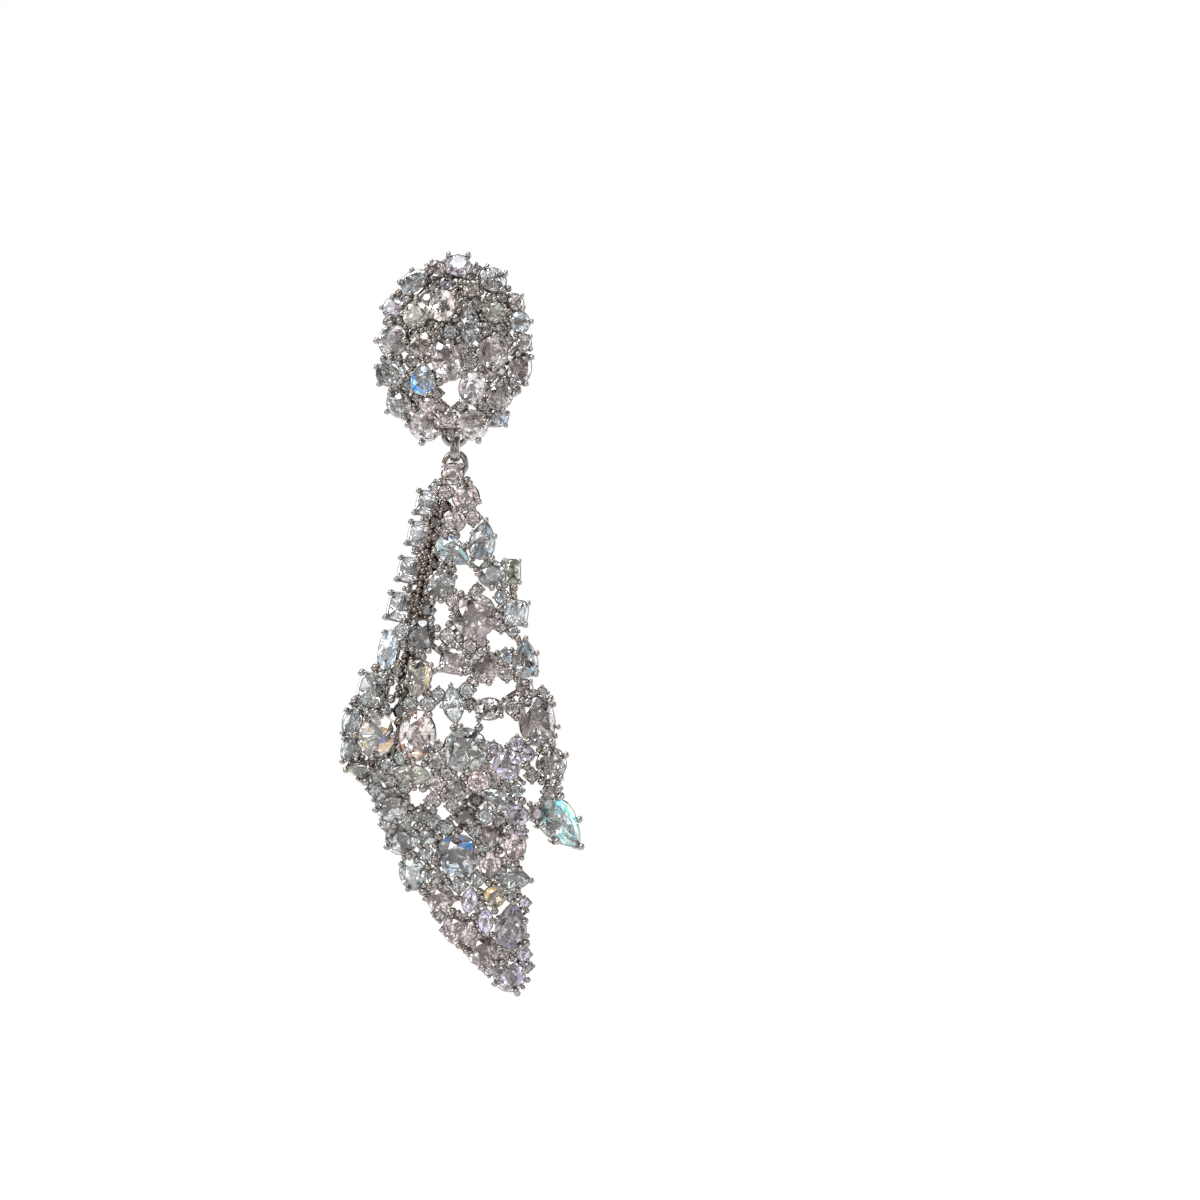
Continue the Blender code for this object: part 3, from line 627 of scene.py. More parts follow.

# %% [markdown]
# One more marquise hangs under the belt at the left and looks down, so its facing and turn are given.

# %% Stone under the belt
UNDER_PLACE, UNDER_TURN, UNDER_LEAN = (-84, 308), 112, math.radians(55)
x, z = drop_place(*UNDER_PLACE)
under_facing = Vector((0, -math.cos(UNDER_LEAN), -math.sin(UNDER_LEAN)))
under_middle = Vector((x, side_depth(x, z), z))
drop_seats.append(Seat("marquise_medium", "olive", under_middle, under_facing, UNDER_TURN))
drop_depths.append(side_depth)
print("stones in the drop:", len(drop_seats))

# %% [markdown]
# ## Fire in the facets
# A clear cut stone splits light, so single facets flash blue, green or yellow while their neighbours stay
# grey or white. A renderer without dispersion can't do that, so that light is painted: every facet carries
# its own colour as a corner attribute, a slight cast of the stone's tone at a level that varies at random as
# painted sparkle, and in a few facets a painted flash of coloured light, which glows a little.

# %% Tones
TONES = {
    # cast, painted flashes, share of the flashing side's facets that flash, that side in the picture
    "warm": ((0.985, 0.895, 0.915), ((0.98, 0.82, 0.74), (0.86, 0.80, 0.95)), 0.15, None),
    "cool": ((0.885, 0.94, 0.965), ((0.66, 0.86, 0.95), (0.75, 0.95, 0.85)), 0.18, None),
    "pink": ((0.985, 0.855, 0.885), ((0.98, 0.72, 0.78), (0.98, 0.84, 0.74)), 0.35, None),
    "peach": ((0.985, 0.905, 0.89), ((1.0, 0.76, 0.60), (0.96, 0.74, 0.74)), 0.55, 200),
    "cream": ((0.95, 0.93, 0.91), ((1.0, 0.86, 0.78), (1.0, 0.92, 0.86)), 0.45, 55),
    "lilac": ((0.93, 0.90, 0.98), ((0.76, 0.67, 0.94), (0.85, 0.78, 0.98)), 0.55, None),
    "smoke": ((0.82, 0.85, 0.865), ((0.60, 0.74, 0.78),), 0.18, None),
    "slate": ((0.845, 0.85, 0.895), ((0.70, 0.80, 0.92), (0.80, 0.84, 0.90)), 0.18, None),
    "olive": ((0.87, 0.885, 0.79), ((0.80, 0.82, 0.52), (0.74, 0.88, 0.72)), 0.35, None),
    "umber": ((0.86, 0.78, 0.69), ((0.90, 0.80, 0.62),), 0.15, None),
    "ice": ((0.92, 0.945, 0.97), ((0.68, 0.86, 1.0), (0.76, 0.94, 1.0)), 0.45, None),
    "blue": ((0.90, 0.93, 0.97), ((0.25, 0.48, 0.95), (0.50, 0.74, 1.0)), 0.80, 90),
    "azure": ((0.82, 0.84, 0.87), ((0.16, 0.58, 1.0),), 0.45, 20),
    "aqua": ((0.93, 0.94, 0.95), ((0.15, 0.85, 0.95), (0.10, 0.42, 0.85), (0.55, 1.0, 0.92)), 0.90, 235),
    "cyan": ((0.91, 0.905, 0.92), ((0.36, 0.86, 1.0), (0.28, 0.44, 0.80), (0.75, 1.0, 1.0)), 0.60, 65),
    "green": ((0.93, 0.94, 0.95), ((0.40, 0.92, 0.80), (0.45, 0.90, 1.0), (0.80, 0.96, 0.76)), 0.75, 60),
    "yellow": ((0.93, 0.93, 0.92), ((0.96, 0.89, 0.58), (0.52, 0.56, 0.88), (0.98, 0.80, 0.60)), 0.60, 90),
    "gold": ((0.97, 0.93, 0.88), ((1.0, 0.80, 0.42), (0.98, 0.90, 0.62)), 0.75, None),
}
print("tones:", len(TONES))

# %% [markdown]
# The painted flashes gather on one side of a stone, as they do on a real one. A stone deep between its
# neighbours is painted darker, as shade. A few facets of the main stones glow white instead, as painted
# sparkle.

# %% Tinting a stone
FLASH_FROM = 0.46  # how far out on the flashing side, in half lengths
FLASH_PARTS = 3  # parts of the flash to one part of the facet's own tint
# a facet's level varies at random, as painted sparkle, and falls with the seat's depth, as painted shade
LEVELS, DEPTH_SHADE = (0.82, 1.10), 0.6
# the glow of bold flashes and of white sparkles: painted glints
BOLD_SHARE, FLASH_GLOW, SPARKLE_GLOW = 0.2, 2, 0.55
SPARKLE_SHARES = {True: 0.09, False: 0.20}  # of a main stone's facets above and below the girdle
NOTCH_SHADE, CLUSTER_SHADE, FOLD_SHADE = 0.3, 0.55, 0.95  # painted shade, by how deep the tiny stones and beads lie
chance = random.Random(31)


def flash_direction(seat, side):
    """The flashing side as a direction along and across the stone."""
    if side is None:
        angle = chance.uniform(-math.pi, math.pi)
        return Vector((math.cos(angle), math.sin(angle)))
    clockwise = math.radians(side)
    side = Vector((math.sin(clockwise), 0, math.cos(clockwise)))
    local = seat.matrix().to_3x3().normalized().inverted() @ side
    return local.xy.normalized()


def tint_and_light_facets(stone, seat):
    cast, flashes, share, side = TONES[seat.tone]
    tint_and_light = stone.data.color_attributes.new("facet_tint_and_painted_light", "FLOAT_COLOR", "CORNER")
    fire = stone.data.color_attributes.new("facet_fire", "FLOAT_COLOR", "CORNER")
    toward = flash_direction(seat, side)
    for polygon, plain in zip(stone.data.polygons, UNIT_STONES[seat.cut].data.polygons):
        above = plain.center.z > 0
        flashing = above and plain.center.xy.dot(toward) > FLASH_FROM and chance.random() < share
        level = chance.uniform(*LEVELS) * (1 - DEPTH_SHADE * seat.depth)
        colour = [min(1.0, channel * level) for channel in cast]
        glow = (0, 0, 0)
        if flashing:
            flash = chance.choice(flashes)
            colour = [(own + FLASH_PARTS * bold) / (1 + FLASH_PARTS) for own, bold in zip(colour, flash)]
            glow = [channel**2 * share * FLASH_GLOW for channel in flash] if share > BOLD_SHARE else glow
        elif seat.depth < NOTCH_SHADE and chance.random() < SPARKLE_SHARES[above]:
            glow = [channel * SPARKLE_GLOW for channel in cast]
        for corner in polygon.loop_indices:
            tint_and_light.data[corner].color = (*colour, 1.0)
            fire.data[corner].color = (*glow, 1.0)


print("a facet's own level runs from", *LEVELS)

# %% [markdown]
# ## Finishes
# Two finishes cover the earring. The metal is silver under a bright, hard plate, mirror-like where a
# polishing wheel reaches. Its colour is painted far darker than bright rhodium, as a painted dark
# reflection, and greyer and browner deep between the stones, as painted shade. The stones are clear and
# hard, with polish that is nearly perfect. Both carry the faint bloom that skin and cloth leave, so that
# is one node group, used by each with its own values.


# %% The bloom group
def set_values(node, **values):
    """Sets a node's sockets by name, with a low line for each space."""
    for name, value in values.items():
        node.inputs[name.replace("_", " ")].default_value = value
    return node


def new_node(tree, kind, **values):
    return set_values(tree.nodes.new(f"ShaderNode{kind}"), **values)


def plug(source, output, target, socket):
    """A link from one node's output to a socket of the next node."""
    source.id_data.links.new(source.outputs[output], target.inputs[socket])


def bloom_group():
    """Noise at two scales, as a mask of where the surface is dulled, and a fine height."""
    group = bpy.data.node_groups.new("handling_bloom", "ShaderNodeTree")
    for name, default in (("Patch Scale", 400.0), ("Fine Scale", 4000.0), ("Clean", 0.45)):
        socket = group.interface.new_socket(name, in_out="INPUT", socket_type="NodeSocketFloat")
        socket.default_value = default
    for name in ("Bloom", "Fine Height"):
        group.interface.new_socket(name, in_out="OUTPUT", socket_type="NodeSocketFloat")
    start, end = group.nodes.new("NodeGroupInput"), group.nodes.new("NodeGroupOutput")
    place, ramp = new_node(group, "TexCoord"), new_node(group, "MapRange", From_Max=0.75)
    patches, fine = new_node(group, "TexNoise", Detail=3), new_node(group, "TexNoise", Detail=2)
    for noise, scale in ((patches, "Patch Scale"), (fine, "Fine Scale")):
        plug(place, "Object", noise, "Vector")
        plug(start, scale, noise, "Scale")
    plug(patches, "Fac", ramp, "Value")
    plug(start, "Clean", ramp, "From Min")
    plug(ramp, "Result", end, "Bloom")
    plug(fine, "Fac", end, "Fine Height")
    return group


BLOOM = bloom_group()
print("group:", BLOOM.name, [item.name for item in BLOOM.interface.items_tree])


# %% A material with bloom
def mixed(tree, factor, first, second):
    """A colour mix. Each input is a socket or a plain colour or number."""
    mix = new_node(tree, "Mix")
    mix.data_type = "RGBA"
    for name, value in (("Factor", factor), ("A", first), ("B", second)):
        sockets = [s for s in mix.inputs if s.name == name and s.enabled]
        if isinstance(value, bpy.types.NodeSocket):
            tree.links.new(value, sockets[0])
        else:
            sockets[0].default_value = value
    return next(s for s in mix.outputs if s.enabled)


def bloomed(name, polish, **bloom_values):
    """A material that the bloom makes rougher, from polish's lowest to its highest value."""
    material = bpy.data.materials.new(name)
    material.use_nodes = True
    tree = material.node_tree
    bloom = new_node(tree, "Group")
    bloom.node_tree = BLOOM
    set_values(bloom, **bloom_values)
    roughness = new_node(tree, "MapRange", To_Min=polish[0], To_Max=polish[1])
    plug(bloom, "Bloom", roughness, "Value")
    plug(roughness, "Result", tree.nodes["Principled BSDF"], "Roughness")
    return material, bloom


print("each material starts with", BLOOM.name, "on its roughness")

# %% [markdown]
# The plate's colour is mixed towards a shade colour by how deep the metal lies, as painted shade.
# Each piece carries that depth as an attribute.

# %% The plated metal
DULLED = 0.86  # of the plate's brightness, under bloom


def plated_metal(name, bright, shade, polish):
    metal, bloom = bloomed(name, polish, Patch_Scale=900, Fine_Scale=6000)
    tree = metal.node_tree
    shader = set_values(tree.nodes["Principled BSDF"], Metallic=1.0)
    # painted shade: deeper metal is mixed towards the shade colour
    depth = new_node(tree, "Attribute")
    depth.attribute_name = "painted_shade"
    dulled = mixed(tree, bloom.outputs["Bloom"], bright, [c * DULLED for c in bright[:3]] + [1])
    tree.links.new(mixed(tree, depth.outputs["Fac"], dulled, shade), shader.inputs["Base Color"])
    bump = new_node(tree, "Bump", Strength=0.12, Distance=0.02 * MM)
    plug(bloom, "Fine Height", bump, "Height")
    plug(bump, "Normal", shader, "Normal")
    return metal


# the main plate is painted far darker than the post's bright rhodium, as a painted dark reflection, and its
# shade colour is painted shade
DARKENED_PLATE = plated_metal("rhodium_plate_painted_dark", (0.46, 0.43, 0.41, 1), (0.24, 0.20, 0.175, 1), (0.10, 0.26))
POST_PLATE = plated_metal("rhodium_post", (0.76, 0.75, 0.73, 1), (0.4, 0.38, 0.35, 1), (0.14, 0.30))
print("metals:", DARKENED_PLATE.name, POST_PLATE.name)

# %% [markdown]
# The stone is clear glass to the renderer, with an index close to that of the real stone. Its tint, with its
# painted shade and flashes, and its painted glow are read from the facets.


# %% The clear stone
def clear_stone():
    stone, bloom = bloomed("clear_cut_stone", (0.0, 0.06), Patch_Scale=700, Clean=0.55)
    tree = stone.node_tree
    shader = tree.nodes["Principled BSDF"]
    # the glow read from the facets is painted light: flashes and sparkles
    set_values(shader, IOR=2.15, Transmission_Weight=1.0, Emission_Strength=0.35)
    tint_and_light, fire = new_node(tree, "VertexColor"), new_node(tree, "VertexColor")
    tint_and_light.layer_name, fire.layer_name = "facet_tint_and_painted_light", "facet_fire"
    worn = mixed(tree, bloom.outputs["Bloom"], tint_and_light.outputs["Color"], (0.80, 0.80, 0.80, 1))
    tree.links.new(worn, shader.inputs["Base Color"])
    plug(fire, "Color", shader, "Emission Color")
    return stone


CLEAR_STONE = clear_stone()
print("stone:", CLEAR_STONE.name)

# %% [markdown]
# ## Setting the stones
# Each seat gets its collet, its stone and its claws. A claw that would stand in the next stone is moved
# a little round, or left out, because there the neighbour's claw holds both.

# %% Settings of one stone
CLAW_SHIFTS = (0, 10, -10, 20, -20, 30, -30)
CLAW_OUT, CLAW_CLEAR = 0.16 * MM, 0.10 * MM  # where a claw is tried, and its distance from the next stone
FOOT_DEPTH, TIP_RISE = 0.62, 0.62  # of the half width below the girdle, and of the crown above it
SHOULDER_OUT, TIP_OUT, CLAW_EASE = 0.17 * MM, 0.10 * MM, 0.05 * MM
WIDEST_BEAD, SMALLEST_BEAD_WIDTH, BEAD_GROWTH = 0.76, 0.25, 0.3  # in millimetres, growing with the stone
FOOT_WIRE, TIP_WIRE = 0.86, 0.92  # of the bead's width
SHADE_GROWTH, SHADE_START, FOOT_SHADE = 1.3, 0.1, 0.8  # painted shade of a collet, from its girdle back to its foot
COLLET_WALL = 0.13 * MM


def free_claw_angles(seat, others):
    found = []
    for degrees in CLAW_ANGLES[seat.cut]:
        for shift in CLAW_SHIFTS:
            place = seat.edge(degrees + shift, CLAW_OUT, 0)
            if not any(other.covers(place, CLAW_CLEAR) for other in others):
                found.append(degrees + shift)
                break
    return found


def bead_width(seat):
    return min(WIDEST_BEAD, SMALLEST_BEAD_WIDTH + seat.half_width / MM * BEAD_GROWTH) * MM


def mark_painted_shade(obj, value):
    """Painted shade on a piece, by how deep it lies between the stones, from 0 in the open to 1."""
    attribute = obj.data.attributes.new("painted_shade", "FLOAT", "POINT")
    attribute.data.foreach_set("value", [value] * len(obj.data.vertices))
    return obj


def claws_of(seat, others):
    pieces = []
    width = bead_width(seat)
    for degrees in free_claw_angles(seat, others):
        foot = seat.edge(degrees, -CLAW_EASE, -seat.half_width * FOOT_DEPTH)
        shoulder = seat.edge(degrees, SHOULDER_OUT, -CLAW_EASE)
        tip = seat.edge(degrees, TIP_OUT, seat.half_width * CROWN * TIP_RISE + CLAW_EASE)
        pieces.append(wire_between(foot, shoulder, width * FOOT_WIRE))
        pieces.append(wire_between(shoulder, tip, width * TIP_WIRE))
        pieces.append(bead_at(tip, seat.facing, width))
    # the claws take the seat's painted shade
    return [mark_painted_shade(piece, seat.depth) for piece in pieces]


def collet_of(seat):
    """A collet with painted shade, darker towards its foot."""
    collet = copy_of(UNIT_COLLETS[seat.cut], seat.matrix(COLLET_WALL))
    attribute = collet.data.attributes.new("painted_shade", "FLOAT", "POINT")
    for vertex in collet.data.vertices:
        behind = -(vertex.co - seat.middle).dot(seat.facing) / seat.half_width
        shade = min(FOOT_SHADE, behind * SHADE_GROWTH - SHADE_START)
        attribute.data[vertex.index].value = max(seat.depth, shade)
    return collet


print("a claw's bead is at most", WIDEST_BEAD, "mm wide")

# %% [markdown]
# ## Bars between the collets
# Round wires join neighbouring collets behind the stones. Two collets are neighbours when no third lies
# nearer to both. A bead closes the notch in front where two stones leave one, as in the photograph.

# %% Neighbouring collets
BAR_REACH = 3.9 * MM


def neighbours(points):
    pairs = []
    for i, first in enumerate(points):
        for j in range(i):
            second = points[j]
            apart = (first - second).length
            others = (other for k, other in enumerate(points) if k not in (i, j))
            if all(max((first - other).length, (second - other).length) >= apart for other in others):
                pairs.append((apart, j, i))
    return sorted(pairs)


def barred_pairs(points):
    """Close neighbours, and further ones only where nothing else holds them together."""
    group = list(range(len(points)))
    kept = []
    for apart, i, j in neighbours(points):
        if apart > BAR_REACH and group[i] == group[j]:
            continue
        kept.append((i, j))
        group = [group[i] if g == group[j] else g for g in group]
    return kept


print("bars join neighbours up to", round(BAR_REACH / MM, 1), "mm apart")

# %% Bars and the beads before them
# the bars get painted shade, as they lie behind the stones
BAR_WIDTH, BAR_SHADE = 0.66 * MM, 0.55
NOTCH_GAP, NOTCH_CLEAR, NOTCH_SETBACK = 0.15 * MM, 0.02 * MM, 0.12 * MM
NOTCH_POST, NOTCH_BEAD = 0.42 * MM, 0.56 * MM


def notch_bead(middle, facing, behind):
    """A bead on a post between two stones."""
    post = mark_painted_shade(wire_between(behind, middle, NOTCH_POST), NOTCH_SHADE)
    return [post, mark_painted_shade(bead_at(middle, facing, NOTCH_BEAD), 0.0)]


def bars_of(seats):
    pieces = []
    ends = [seat.back_point() for seat in seats]
    for i, j in barred_pairs(ends):
        pieces.append(mark_painted_shade(wire_between(ends[i], ends[j], BAR_WIDTH), BAR_SHADE))
        first, second = seats[i], seats[j]
        facing = (first.facing + second.facing).normalized()
        middle = (first.middle + second.middle) / 2 - facing * NOTCH_SETBACK
        gap = (first.middle - second.middle).length - first.half_width - second.half_width
        if gap > NOTCH_GAP and not any(s.covers(middle, NOTCH_CLEAR) for s in seats):
            pieces += notch_bead(middle, facing, (ends[i] + ends[j]) / 2)
    return pieces


print("bars are", round(BAR_WIDTH / MM, 2), "mm thick")

# %% [markdown]
# ## The notches between the stones
# Between the main stones the photograph shows tiny stones and beads, so close that hardly any white
# comes through, and a few clear openings. The tiny ones could be charted one by one. Here the outline and
# the openings are charted, and the widest free circle inside gets a tiny stone, again and again, until
# only beads fit.

# %% Openings and outline, in chart steps
DOME_OPENINGS = ((-3.5, -45.5, 9, 14),)  # across, up, half width, half height
DROP_OPENINGS = (
    # across, down, half width, half height
    (18, 67, 5, 7.5),
    (17, 114, 10, 12),
    (31, 98, 5, 4.5),
    (40, 129, 6, 8),
    (-7, 148, 7, 11.5),
    (52, 176, 13, 9),
    (-14, 200, 8, 25),
    (0, 214, 17, 8),
    (50, 227, 23, 11),
    (-50, 225, 6, 7),
    (-7, 256, 9, 19),
    (21, 255, 6.5, 9),
    (52, 264, 16.5, 14),
    (68, 310, 9, 8),
    (84, 327, 9, 9),
    (-31, 333, 7, 7.5),
    (-6, 347, 4.5, 9.5),
    (11, 440, 5.5, 7.5),
    # notches at the left edge, between the stones of the side column
    (-34, 54, 11, 2.5),
    (-43, 88, 11, 3),
    (-53, 122, 10, 3),
    (-64, 162, 10, 3.5),
)
DROP_OUTLINE = (
    # across, down, clockwise from the head
    (12, 5), (20, 15), (30, 34), (24, 46), (37, 56), (41, 76), (45, 98), (64, 94), (70, 122),
    (58, 128), (76, 136), (78, 158), (66, 164), (72, 176), (84, 184), (90, 206), (76, 212), (78, 226),
    (98, 226), (106, 238), (110, 262), (106, 280), (118, 300), (110, 316), (116, 336), (126, 350),
    (134, 374), (126, 377), (106, 362), (92, 342), (76, 338), (79, 350), (76, 386), (66, 406), (80, 420),
    (66, 428), (78, 440), (78, 470), (82, 496), (80, 518), (68, 534), (52, 526), (32, 508), (9, 483),
    (-8, 462), (-22, 443), (-34, 418), (-46, 396), (-64, 368), (-72, 344), (-82, 322), (-106, 298),
    (-106, 256), (-88, 218), (-66, 188), (-54, 144), (-45, 108), (-35, 68), (-27, 26), (-12, 16), (-6, 5),
)
print("openings:", len(DOME_OPENINGS) + len(DROP_OPENINGS))


# %% How free a place is
def ellipse_clearance(points, centre, turn, half_long, half_wide):
    """How far each point stands outside an ellipse; less than nothing inside it."""
    angle = math.radians(turn)
    offset = points - np.array(centre)
    along = offset @ np.array((math.sin(angle), math.cos(angle)))
    across = offset @ np.array((math.cos(angle), -math.sin(angle)))
    size = np.hypot(along / half_long, across / half_wide)
    return np.hypot(along, across) * (1 - 1 / np.maximum(size, 0.001))


def outline_clearance(points, corners):
    """How far each point stands inside a closed outline; less than nothing outside it."""
    corners = np.array(corners, float)
    nearest = np.full(len(points), np.inf)
    inside = np.zeros(len(points), bool)
    for (x0, y0), (x1, y1) in zip(corners, np.roll(corners, -1, axis=0)):
        edge = np.array((x1 - x0, y1 - y0))
        share = np.clip((points - (x0, y0)) @ edge / (edge @ edge), 0, 1)
        gap = points - ((x0, y0) + share[:, None] * edge)
        nearest = np.minimum(nearest, np.hypot(gap[:, 0], gap[:, 1]))
        if y0 != y1:
            beside = (points[:, 1] < y0) != (points[:, 1] < y1)
            level = (points[:, 1] - y0) / (y1 - y0)
            inside ^= beside & (points[:, 0] < x0 + level * (x1 - x0))
    return np.where(inside, nearest, -nearest)


def chart_grid(left, right, low, high, spacing=1.5):
    across, along = np.meshgrid(np.arange(left, right, spacing), np.arange(low, high, spacing))
    return np.column_stack((across.ravel(), along.ravel()))


print("a place is free by its distance from stones, openings and outline")

# %% [markdown]
# The circles are found on a fine grid: the freest point gets a circle, which then takes its own space
# away from the points round it.

# %% Free circles
SMALLEST_BEAD, WIDEST_TINY = 2.4, 7.5  # radii in steps
DOME_REACH = (92, 77)  # half height and half width inside which the cluster is filled
DROP_MARGIN = 3  # steps past the outline


def circles_between(grid, free, rows, openings, handed):
    """Fills what stones and openings leave free with circles, the widest first."""
    for kind, across, along, turn, tone in rows:
        cut, length, width = KINDS[kind]
        stone = ellipse_clearance(grid, (across, along), turn * handed, length / 2, width / 2)
        free = np.minimum(free, stone)
    for across, along, half_width, half_height in openings:
        free = np.minimum(free, ellipse_clearance(grid, (across, along), 0, half_height, half_width))
    circles = []
    while free.max() > SMALLEST_BEAD:
        spot = int(free.argmax())
        radius = min(float(free[spot]), WIDEST_TINY)
        circles.append((grid[spot, 0], grid[spot, 1], radius))
        free = np.minimum(free, np.hypot(*(grid - grid[spot]).T) - radius)
    return circles


dome_grid, drop_grid = chart_grid(-82, 82, -98, 98), chart_grid(-115, 140, -12, 540)
dome_free = -ellipse_clearance(dome_grid, (0, 0), 0, *DOME_REACH)
drop_free = outline_clearance(drop_grid, DROP_OUTLINE) + DROP_MARGIN
drop_rows = [row for rows in DROP_STONES.values() for row in rows]
dome_circles = circles_between(dome_grid, dome_free, DOME_STONES, DOME_OPENINGS, 1)
drop_circles = circles_between(drop_grid, drop_free, drop_rows, DROP_OPENINGS, -1)
print("free circles:", len(dome_circles), len(drop_circles))

# %% [markdown]
# A free circle wide enough gets a tiny stone in a collet of its own, with the tone of the stone beside
# it, but without a bold flash. A narrower one gets a bead on a stem that runs back to the nearest collet.
# Along the fold both lie deeper and are painted dark, as the fold's shade: a tiny stone there takes the dark
# smoke tone.

# %% Tiny stones and beads
SMALLEST_STONE = 4.9  # steps
MELEE_SIZES = (14, 12, 10)
SETBACK, FOLD_SETBACK = 0.40 * MM, 0.7 * MM
FOLD_BAND = (-10, 3)  # steps either side of the fold
BEAD_SETBACK, BRACE_WIDTH = 0.1 * MM, 0.45 * MM
BEAD_SIZE, STEM_SIZE = 2.1, 1.5  # widths, to one of the free circle's radius
# painted shade of the stems and braces behind the stones
STEM_SHADE, BRACE_SHADE = 0.35, 0.6


def fill_notches(circles, seats, place_on_surface):
    """Seats for the tiny stones, and the beads with their stems."""
    tiny, beads = [], []
    for across, along, radius in circles:
        place, facing, nearest, painted_shade = place_on_surface(across, along)
        in_fold = painted_shade == FOLD_SHADE
        if radius >= SMALLEST_STONE:
            tone = nearest.tone if TONES[nearest.tone][3] is None else "cool"
            size = next(size for size in MELEE_SIZES if radius * 2 >= size - 0.5)
            middle = place - facing * (FOLD_SETBACK if in_fold else SETBACK)
            # in the fold a tiny stone takes the dark smoke tone, as painted shade
            tiny.append(Seat(f"melee_{size}", "smoke" if in_fold else tone, middle, facing, 45, painted_shade))
            continue
        middle = place - facing * BEAD_SETBACK
        halfway = (middle + nearest.back_point()) / 2
        beads.append(mark_painted_shade(bead_at(middle, facing, radius * BEAD_SIZE * STEP), painted_shade))
        stem = wire_between(middle, halfway, radius * STEM_SIZE * STEP)
        beads.append(mark_painted_shade(stem, max(painted_shade, STEM_SHADE)))
        beads.append(mark_painted_shade(wire_between(halfway, nearest.back_point(), BRACE_WIDTH), BRACE_SHADE))
    return tiny, beads


def on_dome(across, up):
    x, z = dome_place(across, up)
    return *on_surface(dome_depth, x, z), nearest_seat(dome_seats, x, z), CLUSTER_SHADE


def on_drop(across, down):
    x, z = drop_place(across, down)
    nearest = nearest_seat(drop_seats, x, z)
    steps = (x - fold_across(z)) / STEP
    in_fold = FOLD_HEAD[1] < down < FOLD_FOOT[1] and FOLD_BAND[0] < steps < FOLD_BAND[1]
    depth = drop_depths[drop_seats.index(nearest)]
    return *on_surface(depth, x, z), nearest, FOLD_SHADE if in_fold else NOTCH_SHADE


print("tiny stones are at least", SMALLEST_STONE * 2 / 10, "mm across")

# %% [markdown]
# ## Everything set on one body
# The metal of a body's settings is joined into one casting. The stones that are solids of their own stay
# loose pieces, and the small ones are joined, because they are fused to the frame.

# %% Metal and stones of one body
STEM_WIDTH = 0.5 * MM


def casting(name, pieces, degrees):
    """One piece of plated metal."""
    metal = joined(name, pieces)
    smooth(metal, degrees)
    metal.data.materials.clear()
    metal.data.materials.append(DARKENED_PLATE)
    return metal


def cast_settings(prefix, seats, tiny, fillers):
    metalwork = [collet_of(seat) for seat in seats + tiny] + fillers
    for i, seat in enumerate(seats):
        metalwork += claws_of(seat, seats[:i] + seats[i + 1 :])
    for seat in tiny:
        metalwork += claws_of(seat, seats)
        holder = nearest_seat(seats, seat.middle.x, seat.middle.z)
        stem = wire_between(seat.back_point(), holder.back_point(), STEM_WIDTH)
        metalwork.append(mark_painted_shade(stem, BRACE_SHADE))
    return casting(f"{prefix}_settings", metalwork + bars_of(seats), 48)


def set_stones(prefix, seats, body):
    """The loose stones, each in its node's place, and the small ones as one piece."""
    counts = {}
    small = []
    for seat in seats:
        stone = copy_of(UNIT_STONES[seat.cut], seat.matrix())
        tint_and_light_facets(stone, seat)
        stone.data.materials.append(CLEAR_STONE)
        if not seat.is_own:
            small.append(stone)
            continue
        counts[seat.cut] = counts.get(seat.cut, 0) + 1
        node = f"{prefix}_{seat.cut}_{counts[seat.cut]}"
        stone.name = f"cut_{node}"
        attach(stone, body)
        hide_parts(node)
    small_stones = joined(f"{prefix}_small_stones", small)
    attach(small_stones, body)
    print(prefix, "own stones:", counts, "small ones:", len(small))
    return small_stones


def dress_settings(prefix, seats, body, circles, place_on_surface):
    tiny, fillers = fill_notches(circles, seats, place_on_surface)
    settings = cast_settings(prefix, seats, tiny, fillers)
    return settings, set_stones(prefix, seats + tiny, body)


# %% [markdown]
# ## The cluster
# First its settings, then what carries them: the oval back ring on short posts, the bridge with the flat
# pad, and the loop below.

# %% Cluster settings
dome_settings, dome_small = dress_settings("dome", dome_seats, "dome", dome_circles, on_dome)
print(dome_settings.name, len(dome_settings.data.polygons), "faces")

# %% [markdown]
# Loops and rings are tori. The back ring is one too: it is added round and then resized to an oval.

# %% Loops and rings
QUARTER = math.pi / 2
RING_WIDTH, RING_HEIGHT = 0.776 * DOME_WIDTH, 0.78 * DOME_HEIGHT
RING_Y, RING_WIRE = -1.0 * MM, 0.9 * MM


def ring(name, centre, radius, wire, rotation, steps=40, sides=14):
    deselect()
    bpy.ops.mesh.primitive_torus_add(
        location=centre,
        rotation=rotation,
        major_radius=radius,
        minor_radius=wire / 2,
        major_segments=steps,
        minor_segments=sides,
    )
    return named(name)


def hanging_loop(name, height):
    return ring(name, (0, LOOP_Y, height), LOOP_RADIUS, WIRE_WIDTH, (QUARTER, 0, 0))


dome_loop = hanging_loop("dome_loop", DOME_LOOP_Z)
back_ring = ring("back_ring", (0, RING_Y, 0), RING_WIDTH / 2, RING_WIRE * 0.92, (QUARTER, 0, 0), 72, 12)
start_edit()
bpy.ops.transform.resize(value=(1, 1, RING_HEIGHT / RING_WIDTH), center_override=(0, RING_Y, 0))
bpy.ops.transform.translate(value=(0, 0, DOME_CENTRE_Z))
end_edit()
print("loop and ring:", len(dome_loop.data.polygons), len(back_ring.data.polygons))

# %% [markdown]
# The pad is a disc turned flat where it lies on the ear, with its rim eased. The bridge is a strip with
# softened edges that runs across the ring behind it. Both are bevelled primitives: a sharp edge would
# scratch, and it would catch no light.

# %% Pad and bridge
PAD_WIDTH, PAD_THICKNESS = 5.6 * MM, 1.0 * MM
BRIDGE_Y, BRIDGE_THICKNESS, BRIDGE_WIDTH = -0.55 * MM, 0.8 * MM, 1.6 * MM


